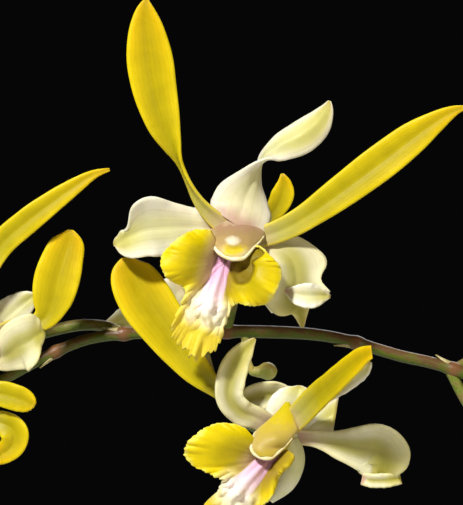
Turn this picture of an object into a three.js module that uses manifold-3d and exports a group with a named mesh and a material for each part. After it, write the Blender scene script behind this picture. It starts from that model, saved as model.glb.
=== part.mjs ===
// A potted dendrobium orchid of the antelope kind, in millimetres, +Z up, origin under the middle of the pot.
// A clay pot holds bark, five leafy canes grow from the bark, and two of them carry an arching flower stem.
// Each bloom is four solids: the cream sepals on their ovary, the two horn-like yellow petals,
// the ruffled lip and the column. Neighbouring solids keep a gap of 0.3 mm.
import * as THREE from "three";
import { mergeVertices } from "three/addons/utils/BufferGeometryUtils.js";
import Module from "manifold-3d";

const wasm = await Module();
wasm.setup();

// Driving sizes
const GAP = 0.3;
const BLADE_THICKNESS = 0.8;
const LEAF_THICKNESS = 1.2;
const SLIVER = 0.02;
const POT = { footRadius: 45, neckRadius: 58, rimRadius: 66, rimHeight: 24, height: 118, wall: 5, floor: 7 };
const POT_SIDES = 24;
const DRAIN = { radius: 5, circle: 24, count: 3 };
const BARK_TOP = 104;
const CHIPS = 12;
// The middle of the flowering spray: the blooms' places below are measured from it.
const SPRAY = new THREE.Vector3(-80, -15, 545);

const COLOURS = {
  pot: 0xb5653f,
  bark: 0x6b4a33,
  cane: 0x7c8f3a,
  stem: 0x7a6a45,
  sepal: 0xe9e6c4,
  petal: 0xd9c41c,
  lip: 0xe3cf22,
  column: 0xdcc79a,
};

const v3 = (x, y, z) => new THREE.Vector3(x, y, z);
const radians = THREE.MathUtils.degToRad;

// A repeatable random draw from 0 to 1.
function seeded(seed) {
  let state = seed;
  return () => {
    state = (state * 1664525 + 1013904223) % 4294967296;
    return state / 4294967296;
  };
}

// Rows of numbers read as one smooth curve: a uniform Catmull-Rom spline through every column, t from 0 to 1.
function along(rows, t) {
  const last = rows.length - 1;
  const place = Math.min(Math.max(t, 0), 1) * last;
  const i = Math.min(Math.floor(place), last - 1);
  const f = place - i;
  const at = (k) => rows[Math.min(Math.max(k, 0), last)];
  const [a, b, c, d] = [at(i - 1), at(i), at(i + 1), at(i + 2)];
  return b.map((_, k) => {
    const [p, q, r, s] = [a[k], b[k], c[k], d[k]];
    return q + 0.5 * f * (r - p + f * (2 * p - 5 * q + 4 * r - s + f * (3 * (q - r) + s - p)));
  });
}

// A closed solid from loose triangles given as corner positions.
function solidOf(positions, index) {
  const geometry = new THREE.BufferGeometry();
  geometry.setAttribute("position", new THREE.Float32BufferAttribute(positions, 3));
  geometry.setIndex(index);
  return manifoldOf(geometry);
}

function manifoldOf(geometry) {
  const bare = geometry.clone();
  bare.deleteAttribute("normal");
  bare.deleteAttribute("uv");
  const merged = mergeVertices(bare, 1e-4);
  const triVerts = new Uint32Array(merged.index.array);
  const vertProperties = merged.attributes.position.array;
  const made = new wasm.Manifold(new wasm.Mesh({ numProp: 3, vertProperties, triVerts }));
  if (made.volume() > 0) return made;
  for (let i = 0; i < triVerts.length; i += 3) {
    [triVerts[i + 1], triVerts[i + 2]] = [triVerts[i + 2], triVerts[i + 1]];
  }
  return new wasm.Manifold(new wasm.Mesh({ numProp: 3, vertProperties, triVerts }));
}

const union = (solids) => solids.reduce((a, b) => a.add(b));

// The largest body of a solid: what a cut leaves loose is dropped.
function largest(solid) {
  const bodies = solid.decompose();
  return bodies.reduce((a, b) => (b.volume() > a.volume() ? b : a));
}

// A thin closed shell around the surface point(u, v), with u and v from 0 to 1.
// Both faces are split into the same triangles, so they never cross. It can be grown on its faces and round its edge.
function shell(nu, nv, thickness, grow, point) {
  const plain = [];
  for (let i = 0; i <= nu; i++) {
    for (let j = 0; j <= nv; j++) plain.push(point(i / nu, j / nv));
  }
  const id = (i, j) => i * (nv + 1) + j;
  const inside = (k, last) => Math.min(Math.max(k, 1), last - 1);
  const middle = plain.map((p, k) => {
    const [i, j] = [Math.floor(k / (nv + 1)), k % (nv + 1)];
    const moved = p.clone();
    if (i === 0 || i === nu) moved.addScaledVector(p.clone().sub(plain[id(inside(i, nu), j)]).normalize(), grow);
    if (j === 0 || j === nv) moved.addScaledVector(p.clone().sub(plain[id(i, inside(j, nv))]).normalize(), grow);
    return moved;
  });
  const at = (i, j) => middle[id(Math.min(Math.max(i, 0), nu), Math.min(Math.max(j, 0), nv))];
  const positions = [];
  for (const side of [1, -1]) {
    for (let i = 0; i <= nu; i++) {
      for (let j = 0; j <= nv; j++) {
        const du = at(i + 1, j).clone().sub(at(i - 1, j));
        const dv = at(i, j + 1).clone().sub(at(i, j - 1));
        const offset = du.cross(dv).normalize().multiplyScalar(side * (thickness / 2 + grow));
        positions.push(...at(i, j).clone().add(offset).toArray());
      }
    }
  }
  const count = (nu + 1) * (nv + 1);
  const index = [];
  for (let i = 0; i < nu; i++) {
    for (let j = 0; j < nv; j++) {
      const [a, b, c, d] = [id(i, j), id(i + 1, j), id(i + 1, j + 1), id(i, j + 1)];
      index.push(a, b, c, a, c, d);
      index.push(count + a, count + c, count + b, count + a, count + d, count + c);
    }
  }
  const rim = [];
  for (let i = 0; i < nu; i++) rim.push(id(i, 0));
  for (let j = 0; j < nv; j++) rim.push(id(nu, j));
  for (let i = nu; i > 0; i--) rim.push(id(i, nv));
  for (let j = nv; j > 0; j--) rim.push(id(0, j));
  rim.forEach((a, k) => {
    const b = rim[(k + 1) % rim.length];
    index.push(a, count + a, count + b, a, count + b, b);
  });
  return solidOf(positions, index);
}

// A blade of a petal, sepal or leaf. Its rows are [x, y, z, half width, roll, cup, slant]:
// the middle line, the half width, the turn about the line in degrees (0 faces the blade's face direction),
// how far the edges lift towards the face as a share of the half width,
// and how far the edge on the plus side runs ahead of the other, as a share of the half width.
function bladePoint(rows, face, wave) {
  const full = rows.map((r) => [...r, 0, 0, 0].slice(0, 7));
  return (u, v) => {
    const [x, y, z, half, roll, cup, slant] = along(full, u);
    const before = along(full, u - 0.01);
    const after = along(full, u + 0.01);
    const run = v3(after[0] - before[0], after[1] - before[1], after[2] - before[2]).normalize();
    const front = face.clone().addScaledVector(run, -face.dot(run)).normalize();
    const side = run.clone().cross(front);
    const turn = radians(roll);
    const normal = front.clone().multiplyScalar(Math.cos(turn)).addScaledVector(side, Math.sin(turn));
    const across = side.clone().multiplyScalar(Math.cos(turn)).addScaledVector(front, -Math.sin(turn));
    const s = 2 * v - 1;
    const width = Math.max(half, 0.3);
    const ripple = wave ? wave.height * s * s * Math.sin(Math.PI * u) * Math.sin(6.283 * (wave.count * u + wave.start) + (s > 0 ? wave.shift : 0)) : 0;
    return v3(x, y, z)
      .addScaledVector(across, width * s)
      .addScaledVector(normal, width * cup * s * s + ripple)
      .addScaledVector(run, width * slant * s);
  };
}

function blade(form, grow, steps, thickness = BLADE_THICKNESS) {
  const face = v3(...(form.face ?? [0, -1, 0])).normalize();
  const point = bladePoint(form.rows, face, form.wave);
  return shell(steps[0], steps[1], thickness, grow, point);
}

// A round solid along rows [x, y, z, radius], with closed ends.
function stem(rows, grow, steps, sides) {
  const rings = [];
  for (let i = 0; i <= steps; i++) {
    const u = i / steps;
    const [x, y, z, radius] = along(rows, u);
    const [before, after] = [along(rows, u - 0.01), along(rows, u + 0.01)];
    const run = v3(after[0] - before[0], after[1] - before[1], after[2] - before[2]).normalize();
    rings.push({ centre: v3(x, y, z), run, radius: radius + grow });
  }
  if (grow > 0) {
    rings[0].centre.addScaledVector(rings[0].run, -grow);
    rings[steps].centre.addScaledVector(rings[steps].run, grow);
  }
  const positions = [];
  let side = Math.abs(rings[0].run.z) < 0.8 ? v3(0, 0, 1) : v3(1, 0, 0);
  for (const ring of rings) {
    side = side.clone().addScaledVector(ring.run, -side.dot(ring.run)).normalize();
    const other = ring.run.clone().cross(side);
    for (let k = 0; k < sides; k++) {
      const angle = (2 * Math.PI * k) / sides;
      const p = ring.centre.clone().addScaledVector(side, ring.radius * Math.cos(angle));
      positions.push(...p.addScaledVector(other, ring.radius * Math.sin(angle)).toArray());
    }
  }
  positions.push(...rings[0].centre.toArray(), ...rings[steps].centre.toArray());
  const [low, high] = [(steps + 1) * sides, (steps + 1) * sides + 1];
  const index = [];
  for (let k = 0; k < sides; k++) {
    const n = (k + 1) % sides;
    for (let i = 0; i < steps; i++) {
      const [a, b, c, d] = [i * sides + k, i * sides + n, (i + 1) * sides + n, (i + 1) * sides + k];
      index.push(a, b, c, a, c, d);
    }
    index.push(low, n, k, high, steps * sides + k, steps * sides + n);
  }
  return solidOf(positions, index);
}

// Shapes that every open bloom shares, facing -Y with +Z up, origin at the column. Lengths in mm.
const PETAL = [
  [1.6, 0.6, 1.2, 1.5, 0, 0.1], [5.2, 0.2, 6, 1.2, -20, 0.1], [8.4, 0, 11.4, 1.2, -60, 0.1],
  [11.6, -1, 17.4, 2.6, -110, 0.1], [15.2, -1.5, 24.4, 4, -150, 0.1], [18.4, -2, 31.4, 4.5, -165, 0.1],
  [20.8, -2, 37.4, 3.5, -170, 0.1], [22.4, -1.5, 41.4, 1.7, -170, 0], [23, -1, 43.6, 0.3, -170, 0],
];
const DORSAL_SEPAL = [
  [0, 2.6, 0.6, 4.4, 0, -0.2], [0, 1.6, 5.4, 5.4, 0, -0.25], [0.5, 1.6, 10, 4.4, 30, -0.2], [1.5, 3, 14.4, 3.2, 85, 0],
  [2.6, 5, 18.8, 3.2, 135, 0.2], [4, 6, 23, 2.4, 170, 0.2], [5, 6.5, 26.4, 0.3, 180, 0],
];
const LATERAL_SEPAL = [
  [1.6, 2.8, -0.6, 3.2, 0, 0.1], [7, 1.6, -3, 4.4, 0, 0.15], [12, 0.6, -6.2, 5.4, -10, 0.2],
  [16.4, 1.4, -9.4, 5, -25, 0.2], [19.2, 4, -12.2, 3.2, -45, 0.1], [20.2, 7.2, -14.4, 0.4, -55, 0],
];
const SEPAL_WAVE = { height: 1.3, count: 1.6, start: 0.1, shift: 1.2 };
// The lip's edge: [angle from the midline in degrees, distance from the throat, rise towards the viewer].
const LIP_EDGE = [
  [-142, 5.5, 2], [-112, 9.8, 5], [-84, 12.4, 6.5], [-60, 12.4, 6], [-42, 10.6, 4], [-28, 12, 3], [-15, 18, 4],
  [0, 19.8, 6], [15, 18, 4], [28, 12, 3], [42, 10.6, 4], [60, 12.4, 6], [84, 12.4, 6.5], [112, 9.8, 5], [142, 5.5, 2],
];

// The blooms of the photographed group, each measured from its own column.
const BLOOM_A = {
  centre: [1.7, -22, 2.9],
  petals: [
    { rows: [
      [-1.6, 0.6, 1, 1.7, 0, 0.1], [-4.8, 0.4, 3.6, 1.7, -10, 0.1], [-7.8, 0, 6.8, 1.4, -35, 0.1],
      [-10, -0.6, 10.4, 1.1, -60, 0.1], [-11.8, -1.2, 14.4, 1.1, -66, 0.1], [-13.6, -2, 18.6, 2.2, -25, 0.12],
      [-15.4, -2.6, 23.4, 3.5, 0, 0.14], [-17, -3, 29.4, 4.4, 6, 0.12], [-18, -3.4, 35.6, 4.6, 6, 0.1],
      [-18.6, -3.6, 41.2, 3.6, 4, 0.08], [-18.8, -3.8, 45.2, 2, 0, 0.04], [-18.6, -3.8, 47.6, 0.3, 0, 0],
    ] },
    { rows: [
      [1.8, 0.6, -0.4, 2, 0, 0.1], [5.6, 0.4, 0.6, 2.1, 0, 0.1], [9.6, 0, 2.2, 2.3, 0, 0.1], [14, -0.6, 4.8, 2.7, -4, 0.1],
      [20.2, -1.4, 9.2, 3.3, -6, 0.12], [28, -2.2, 15, 3.6, -6, 0.12], [34.2, -2.8, 19.8, 3.2, -4, 0.1],
      [39, -3.2, 23.2, 2.1, 0, 0.06], [42.4, -3.4, 25.2, 1.1, 0, 0], [45, -3.4, 26, 0.3, 0, 0],
    ] },
  ],
  sepals: [
    { rows: [
      [0.6, 2.8, 0, 4.8, 0, -0.2], [0.4, 1.4, 4, 6.4, 0, -0.3], [0.8, 0.6, 7.8, 5.7, 10, -0.32], [2.4, 0.4, 11.2, 3.9, 40, -0.3],
      [4.1, 0.8, 14.6, 3, 84, -0.1], [5.8, 1.6, 16.8, 2.8, 128, 0.16], [8.6, 2, 18.6, 3.1, 158, 0.3],
      [12.4, 2, 20.4, 3.4, 170, 0.32], [15.4, 1.6, 22.8, 2.8, 172, 0.3], [17.2, 1.2, 25.4, 1.6, 172, 0.1],
      [17.9, 1, 27.4, 0.3, 172, 0],
    ] },
    { rows: [
      [-1.4, 2.8, 0.4, 2.6, 0, 0.1], [-6.4, 1.8, 2, 3.2, 0, 0.1], [-11, 1, 2.2, 4.4, 0, 0.16, 0.1], [-15.4, 0.4, 2, 5.6, 0, 0.24, 0],
      [-19, 0.4, 1.4, 5.6, 0, 0.3, -0.3], [-22, 1, 0.2, 4, 0, 0.2, -0.7], [-24, 2, -0.9, 1.8, 0, 0, -0.9], [-25, 2.8, -1.5, 0.3, 0, 0],
    ], wave: { height: 1.5, count: 1.2, start: 0.2, shift: 2.4 } },
    { rows: [
      [1.6, 2.8, -0.4, 2.8, 0, 0.1], [6.4, 2, -1.4, 3.2, 0, 0.12], [10.2, 1.2, -4.2, 4.6, 0, 0.2], [11.4, 0.4, -8, 5.6, 0, 0.26],
      [11.2, 0.2, -11.2, 6.2, 0, 0.1, -0.15], [11.6, 2, -13.8, 3.8, 0, -0.2, -0.2], [12.4, 3.6, -16, 1.6, 0, 0], [12.8, 4.4, -17.9, 0.3, 0, 0],
    ], wave: { height: 1.5, count: 1.3, start: 0.55, shift: 2.2 } },
  ],
  lipTurn: 20,
  throat: [-3, -4.8],
  column: [-0.4, -1.8],
  spur: [[1, 3, -1, 2.4], [3.6, 4, -6, 2.4], [5.6, 4.4, -11, 2.2], [7, 4.6, -14.8, 0.9]],
  lipEdge: [
    [-139, 6.4, 2], [-120, 9.6, 4], [-101, 11.1, 6], [-84, 11.4, 6.5], [-66, 11.2, 6], [-48, 10, 5], [-37, 8.8, 4], [-27, 10.5, 3],
    [-19, 15, 3.4], [-13, 18.3, 4], [-4, 19.8, 5], [5, 19.8, 5], [13, 18.7, 4], [19, 16, 3.4], [25, 12.6, 3], [34, 10, 4],
    [44, 10.4, 5], [58, 11.8, 6], [72, 12.6, 6.5], [88, 11.4, 6], [108, 9.4, 4.6], [136, 6.9, 2],
  ],
};
const BLOOM_B = {
  centre: [10.3, -20, -36.5],
  petals: [
    { rows: [
      [-1.4, 0.6, 1, 1.5, 0, 0.1], [-4.6, 0.6, 3.2, 1.5, 0, 0.1], [-8.6, 0.8, 6, 1.5, -10, 0.1], [-12.8, 1.4, 8.8, 1.8, -20, 0.12],
      [-17.2, 2, 12.8, 3, -10, 0.15], [-20.8, 2.6, 17.4, 4.1, 0, 0.16], [-24, 3, 21.8, 4.9, 6, 0.15], [-27, 3.4, 26, 5.4, 8, 0.14],
      [-29.4, 3.6, 30, 5.1, 8, 0.1], [-30.9, 3.8, 33.2, 3.8, 6, 0.06], [-31.4, 3.9, 35.6, 0.9, 0, 0],
    ] },
    { rows: [
      [1.4, 0.6, 0.8, 1.5, 0, 0.1], [5.6, -0.6, 3.6, 2.2, -10, 0.1], [7.4, -6, 6.8, 3, -30, 0.14], [9.6, -12.6, 10.4, 3.3, -40, 0.16],
      [12.4, -18.4, 14, 3.2, -40, 0.16], [15, -22.6, 16.4, 2.6, -36, 0.1], [16.8, -25.4, 17.2, 1.4, -30, 0],
    ] },
  ],
  sepals: [
    { rows: [
      [1, 2.8, -0.4, 4.4, 0, -0.1], [3.8, 2.8, 3, 7, 0, -0.15], [4.4, 3.4, 6.6, 5.4, -20, -0.15], [2.4, 5, 8.8, 3, -90, 0.1],
      [-1, 5.4, 8.4, 2.7, -150, 0.25], [-4.8, 5, 8, 2.8, -175, 0.3], [-8, 4.6, 7.2, 1.7, -180, 0.1], [-9.6, 4.4, 6.4, 0.3, -180, 0],
    ] },
    { rows: [
      [-1, 2.8, 0.6, 2, 0, 0.1], [-5, 1, 3.2, 2.3, 0, 0.14], [-8.4, -0.6, 4.6, 2.6, 0, 0.2], [-10.6, -1.6, 7.2, 3, 0, 0.3],
      [-10.6, -1.8, 10.4, 3.2, 0, 0.34], [-9.4, -1.2, 14, 3, 0, 0.34], [-7.4, -0.4, 17, 2, 0, 0.2], [-5.6, 0, 19.3, 0.3, 0, 0],
    ] },
    { rows: [
      [1.6, 2.8, -0.4, 1.6, 0, 0.1], [6.4, 2, -0.8, 1.7, 0, 0.14], [11, 1.2, -2, 2.7, 0, 0.2], [15.2, 0.4, -3, 4.4, 0, 0.3, 0.1],
      [18.8, 0, -4.6, 5.6, 0, 0.3, 0.35], [20.4, 1.6, -7.2, 4.8, 0, 0.1, 0.2], [20, 3.6, -9.4, 3.6, 0, -0.3], [19.6, 5.4, -10, 1.6, 0, 0],
    ], wave: { height: 1.4, count: 1.2, start: 0.5, shift: 2.2 } },
  ],
  lipTurn: 45,
  throat: [-2.6, -4.4],
  column: [-2.4, -1.2],
  spur: [[1, 3, -1, 2.6], [2, 3.4, -5, 2.9], [0.6, 4, -9.6, 2.5], [-2.4, 5, -13.4, 0.8]],
  lipEdge: [
    [-158, 4.6, 3], [-142, 6.8, 8], [-121, 5.8, 10.5], [-100, 4.4, 10.5], [-78, 4.2, 9], [-60, 5.4, 6], [-45, 8, 5], [-33, 10.4, 3.4],
    [-21, 15.4, 3.6], [-8, 19.8, 5], [2, 20.4, 5.4], [8, 17, 4.6], [13, 12.4, 3.6], [20, 10.6, 3.2], [27, 11.4, 3.6], [34, 13.4, 4.2],
    [40, 15.6, 5], [47, 17, 5.4], [55, 16.8, 5.4], [64, 15.4, 5.2], [74, 13.4, 4.8], [84, 11, 4], [95, 7.8, 2.4],
  ],
};
const BLOOM_C = {
  centre: [-50.3, -14, -18.5],
  petals: [
    { rows: [
      [-1, 0.6, 0.4, 1.5, 0, 0.1], [-1.2, 0.4, 7.6, 1.6, 0, 0.1], [0.4, 0, 14, 2.2, 0, 0.12], [4, -0.4, 20.2, 2.6, 0, 0.12],
      [9.2, -0.8, 24.8, 2.6, 0, 0.12], [14.4, -1, 28.8, 2.2, 0, 0.1], [19, -1.2, 32, 1.6, 0, 0.06], [22.6, -1.2, 34.2, 0.9, 0, 0],
      [25.8, -1.2, 35.2, 0.3, 0, 0],
    ] },
    { rows: [
      [1.2, 0.6, 1, 1.4, 0, 0.1], [5.4, 1.8, 3.4, 1.4, 0, 0.1], [9.6, 2.4, 3.8, 1.6, 0, 0.1], [12.6, 2.6, 5.4, 2.5, 0, 0.12],
      [14, 2.6, 8.8, 4, 0, 0.14], [15, 2.6, 13, 4.6, 0, 0.12], [16.2, 2.8, 17.2, 3.9, 0, 0.1], [17.4, 3, 20.8, 2.2, 0, 0.05],
      [17.8, 3, 23.3, 0.4, 0, 0],
    ] },
  ],
  sepals: [
    { rows: [
      [0.4, 2.8, 0.4, 3.6, 0, -0.1], [3.4, 4.8, 4, 4, 0, -0.1], [6.6, 5.6, 7, 3.2, 0, 0], [9.2, 6, 9, 2, 0, 0], [10.8, 6, 10, 0.3, 0, 0],
    ] },
    { rows: [
      [1.2, 2.8, -1.8, 2.2, 0, 0.1], [4.4, 0.8, -2.6, 2.9, 0, 0.16], [7.4, -0.8, -0.4, 5.2, 0, 0.22, -0.1], [10, -1, 1, 4.8, 0, 0.3, -0.4],
      [11.6, -0.4, 2, 2.6, 0, 0.1, -0.5], [12.6, 0.6, 2.6, 0.3, 0, 0],
    ], wave: { height: 1.4, count: 1.1, start: 0.3, shift: 2.4 } },
    { rows: [
      [-1.2, 2.8, -0.6, 2.8, 0, 0.1], [-6, 1.6, -3, 4, 0, 0.15], [-10.4, 1, -6.6, 5, 0, 0.2], [-13.6, 2, -10.4, 3.8, 0, 0.2],
      [-15.2, 4, -13.6, 0.4, 0, 0],
    ] },
  ],
  lipTurn: 80,
};
const BLOOM_D = {
  centre: [-55.5, -24, -34.5],
  petals: [
    { rows: [
      [1.4, 0.6, 1.4, 1.5, 0, 0.1], [4.6, 0, 5.2, 1.8, 0, 0.1], [9, -0.6, 6.4, 2.5, 0, 0.1], [12.6, -1, 5.8, 2.4, 0, 0.1],
      [15.4, -1.2, 4.6, 1.2, 0, 0], [16.2, -1.2, 4, 0.4, 0, 0],
    ] },
    { rows: [
      [-1.6, 0.6, 0.6, 1.5, 0, 0.1], [-7, 0, 3.6, 1.4, -20, 0.1], [-13, -1, 7, 2.6, -30, 0.1], [-20, -2, 11, 4, -20, 0.1],
      [-27, -3, 15, 4.2, 0, 0.1], [-33, -3, 18, 2.4, 0, 0], [-36, -3, 19, 0.4, 0, 0],
    ] },
  ],
  sepals: [
    { rows: [
      [-0.4, 2.8, 0.4, 4, 0, -0.2], [-2.4, 3.4, 5, 4.8, 0, -0.2], [-4.6, 6, 9, 3.8, 20, -0.1], [-6.4, 9.6, 12, 2.6, 40, 0], [-8, 13, 14, 0.4, 60, 0],
    ] },
    { rows: [
      [1.2, 2.8, -0.6, 2.2, 0, 0.1], [6, 2, 1, 2, 0, 0.1], [10.6, 1.2, 1, 1.9, 0, 0.15], [13.4, 0.8, -1.6, 1.9, 0, 0.2],
      [13, 0.8, -5, 1.9, 0, 0.2], [9.8, 1.2, -7.4, 1.7, 0, 0.1], [6.4, 1.8, -8.8, 0.4, 0, 0],
    ] },
    { rows: [
      [-1.2, 2.8, -0.8, 2.8, 0, 0.1], [-6, 1.6, -3.6, 4, 0, 0.15], [-10, 1, -8, 5, 0, 0.2], [-12.6, 2, -12.4, 3.6, 0, 0.2],
      [-13.6, 4, -16, 0.4, 0, 0],
    ] },
  ],
  lipTurn: 25,
};
// Bloom E grows behind the stem and faces away, so its rows are seen from the back.
const BLOOM_E = {
  centre: [-8, 16, -6],
  back: true,
  petals: [
    { rows: [
      [1.4, -0.6, 1, 1.5, 0, 0.1], [8, -1, 5.4, 1.4, 0, 0.1], [13, -1.4, 10.6, 1.6, 0, 0.1], [16.9, -1.8, 15.6, 2, 0, 0.1],
      [18.4, -2.2, 19.2, 2.3, 0, 0.1], [18.8, -2.4, 22, 1.5, 0, 0], [18.4, -2.4, 24.4, 0.3, 0, 0],
    ] },
    { rows: [
      [-1.4, -0.6, 1.2, 1.5, 0, 0.1], [-3, 5, 3, 1.3, 0, 0.1], [-4, 12, 5, 1.6, 0, 0.1], [-4.6, 20, 7, 3, 0, 0.1],
      [-5, 29, 9, 4.2, 0, 0.1], [-5, 37, 10.6, 3, 0, 0], [-5, 42, 11, 0.4, 0, 0],
    ], face: [0, 0, 1] },
  ],
  sepals: [
    { rows: [
      [0.4, -2.8, 0.6, 3.6, 0, 0.1], [1, -3, 5.6, 4.6, 0, 0.1], [1, -1, 10, 3.8, 0, 0.1], [1, 3, 13.6, 2.4, 0, 0], [1, 7, 15.6, 0.4, 0, 0],
    ] },
    { rows: [
      [-1.2, -2.8, -0.4, 3, 0, -0.1], [-3.6, -4.4, -2.6, 4, 0, -0.2], [-6.6, -5.6, -5, 4.6, 0, -0.25], [-10.6, -6, -7.4, 4.4, 0, -0.25],
      [-15.4, -5.4, -9, 2.8, 0, -0.2], [-19, -4.6, -9.6, 0.5, 0, 0],
    ] },
    { rows: [
      [0.6, -2.8, -0.6, 2.8, 0, 0.1], [0, -1, -3, 3.4, 0, 0.1], [-1, 4, -5.4, 4, 0, 0.1], [-2, 9, -7, 3, 0, 0], [-2, 13, -8, 0.4, 0, 0],
    ], face: [0, 0, 1] },
  ],
  lipTurn: 0,
  lipNod: 70,
  throat: [4, -2],
};
// Other blooms share one shape: [name, column centre from the spray, compass turn, nod, tilt, size].
const OPEN_BLOOMS = [
  ["f", [92, 2, -9], 18, -6, 24, 0.98],
  ["g", [84, -14, -58], -14, 10, 58, 1],
  ["i", [146, 88, -66], 150, 0, -20, 0.98],
  ["j", [186, 70, -40], 70, 2, 8, 1],
  ["k", [216, 108, -62], 118, 8, 6, 0.94],
];

const mirrored = (rows) => rows.map(([x, y, z, w, roll, cup]) => [-x, y, z, w, -roll, cup]);
const OPEN_FORM = {
  petals: [{ rows: PETAL }, { rows: mirrored(PETAL) }],
  sepals: [
    { rows: DORSAL_SEPAL },
    { rows: LATERAL_SEPAL, wave: SEPAL_WAVE },
    { rows: mirrored(LATERAL_SEPAL), wave: SEPAL_WAVE },
  ],
  lipTurn: 0,
};

// The lip: a fan around the throat. Its side lobes rise towards the viewer and roll out at the edge,
// its middle lobe bends forward and down, and its edge is ruffled.
function lipPoint(edge) {
  return (u, v) => {
    const [degrees, reach, rise] = along(edge, u);
    const rho = 0.16 + 0.84 * v;
    const angle = radians(degrees);
    const sideways = Math.min(1, Math.abs(degrees) / 60);
    const lift = rise * (Math.sin(2 * rho) * sideways + Math.sin(1.5 * rho) * (1 - sideways));
    const ruffle = 0.8 * rho ** 4 * Math.sin(degrees / 5.6);
    return v3(-reach * rho * Math.sin(angle), ruffle - lift, -reach * rho * Math.cos(angle));
  };
}

const BLADE_STEPS = { fine: [10, 2], plain: [7, 2], far: [5, 2] };
const THROAT_DROP = 5;

// The pieces of one bloom, in the bloom's own frame. Each is a function of how far it is grown outwards.
function bloomPieces(form, detail) {
  const back = form.back ? -1 : 1;
  const fine = detail === "fine";
  const steps = BLADE_STEPS[detail];
  const edge = form.lipEdge ?? LIP_EDGE;
  const lean = radians(form.lipTurn);
  const [throatX, throatZ] = form.throat ?? [-THROAT_DROP * Math.sin(lean), -THROAT_DROP * Math.cos(lean)];
  const turn = new THREE.Matrix4().makeRotationY(lean);
  const facing = new THREE.Matrix4().makeRotationZ(form.back ? Math.PI : 0);
  const nod = new THREE.Matrix4().makeRotationX(radians(form.lipNod ?? 0));
  const atThroat = facing.clone().multiply(new THREE.Matrix4().makeTranslation(throatX, -1.2, throatZ)).multiply(nod).multiply(turn);
  const [columnX, columnZ] = form.column ?? [0, 0];
  const atColumn = facing.clone().multiply(new THREE.Matrix4().makeTranslation(columnX, 0, columnZ)).multiply(turn);
  return {
    lip: (grow) => {
      const fan = shell(edge.length - 1, 2, BLADE_THICKNESS, grow, lipPoint(edge));
      if (!fine) return fan.transform(atThroat.elements);
      const crest = stem([[0, 0, 1, 1.7], [0, -1, -3, 1.7], [0, -2.6, -8, 1.5], [0, -4, -12, 1.2], [0, -4.8, -15, 0.6]], grow, 4, 5);
      return fan.add(crest).transform(atThroat.elements);
    },
    column: (grow) => {
      const sides = fine ? 8 : 6;
      const body = stem([[0, -0.4, 1.2, 2.2], [0, -1.8, 1.6, 3.3], [0, -4.4, 1.2, 3.5], [0, -6, 0.2, 2]], grow, fine ? 4 : 3, sides);
      const cap = stem([[0, -4, -0.6, 1.8], [0, -6, -1.3, 2.1], [0, -7.2, -2, 1]], grow, 2, sides);
      return (fine ? body.scale([1.3, 1, 1]).add(cap) : body).transform(atColumn.elements);
    },
    petals: (grow) => {
      const bridge = stem([[-2.4, back * 0.6, 0.8, 0.5], [2.4, back * 0.6, 0.8, 0.5]], grow, 1, 5);
      return union([bridge, ...form.petals.map((p) => blade(p, grow, steps))]);
    },
    sepals: (grow) => {
      const ovary = [[0, back * 9, -1.4, 1.5], [0, back * 6, -1, 2], [0, back * 3.4, -0.4, 2.8], [0, back * 2, 0, 3]];
      const foot = form.spur ? [stem(ovary, grow, 3, 6), stem(form.spur, grow, 3, 6)] : [stem(ovary, grow, 2, 6)];
      return union([...foot, ...form.sepals.map((s) => blade(s, grow, steps))]);
    },
  };
}

// Where each bloom stands: its frame and the point where its ovary meets its stalk.
function bloomFrame(centre, yaw = 0, nod = 0, tilt = 0, size = 1) {
  const place = SPRAY.clone().add(v3(...centre));
  const turn = new THREE.Matrix4().makeRotationZ(radians(yaw));
  turn.multiply(new THREE.Matrix4().makeRotationX(radians(nod)));
  turn.multiply(new THREE.Matrix4().makeRotationY(radians(tilt)));
  turn.scale(v3(size, size, size));
  return new THREE.Matrix4().makeTranslation(place.x, place.y, place.z).multiply(turn);
}

const BLOOMS = [
  ["a", BLOOM_A, bloomFrame(BLOOM_A.centre), "fine"],
  ["b", BLOOM_B, bloomFrame(BLOOM_B.centre), "fine"],
  ["c", BLOOM_C, bloomFrame(BLOOM_C.centre), "plain"],
  ["d", BLOOM_D, bloomFrame(BLOOM_D.centre), "plain"],
  ["e", BLOOM_E, bloomFrame(BLOOM_E.centre), "plain"],
  ...OPEN_BLOOMS.map(([name, centre, ...turns]) => [name, OPEN_FORM, bloomFrame(centre, ...turns), "far"]),
];
const ovaryEnd = (name) => {
  const [, form, frame] = BLOOMS.find((b) => b[0] === name);
  return v3(0, (form.back ? -1 : 1) * (9 + GAP), -1.4).applyMatrix4(frame);
};

// The flower stems: rows [x, y, z, radius] from the cane to the tip, measured from the spray's middle.
const STEMS = {
  main: [
    [146, 1, -166.6, 2.3], [146, 0, -130, 2.2], [134, 0, -92, 2.1], [112, 0, -60, 1.9], [82, 0, -38, 1.6], [47.4, 0, -24.6, 1.45],
    [34, 0, -21, 1.4], [20.1, 0, -17.2, 1.3], [5.8, 0, -16.2, 1.3], [-12.3, 0, -16.3, 1.2], [-26.3, 0, -17.1, 1.15],
    [-35.1, 0, -19.9, 1.1], [-47.4, 0, -26.3, 1.1], [-68, 1, -37, 1], [-90, 2, -54, 0.9], [-108, 3, -76, 0.8], [-118, 3, -100, 0.7],
  ],
  back: [
    [64, 49, -218.6, 2.2], [70, 50, -170, 2.1], [88, 56, -124, 1.9], [116, 66, -92, 1.7], [150, 76, -78, 1.5], [184, 84, -80, 1.3],
    [214, 90, -98, 1.1], [234, 94, -124, 0.9], [244, 96, -150, 0.7],
  ],
};
const STEM_STEPS = { main: 26, back: 14 };
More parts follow.
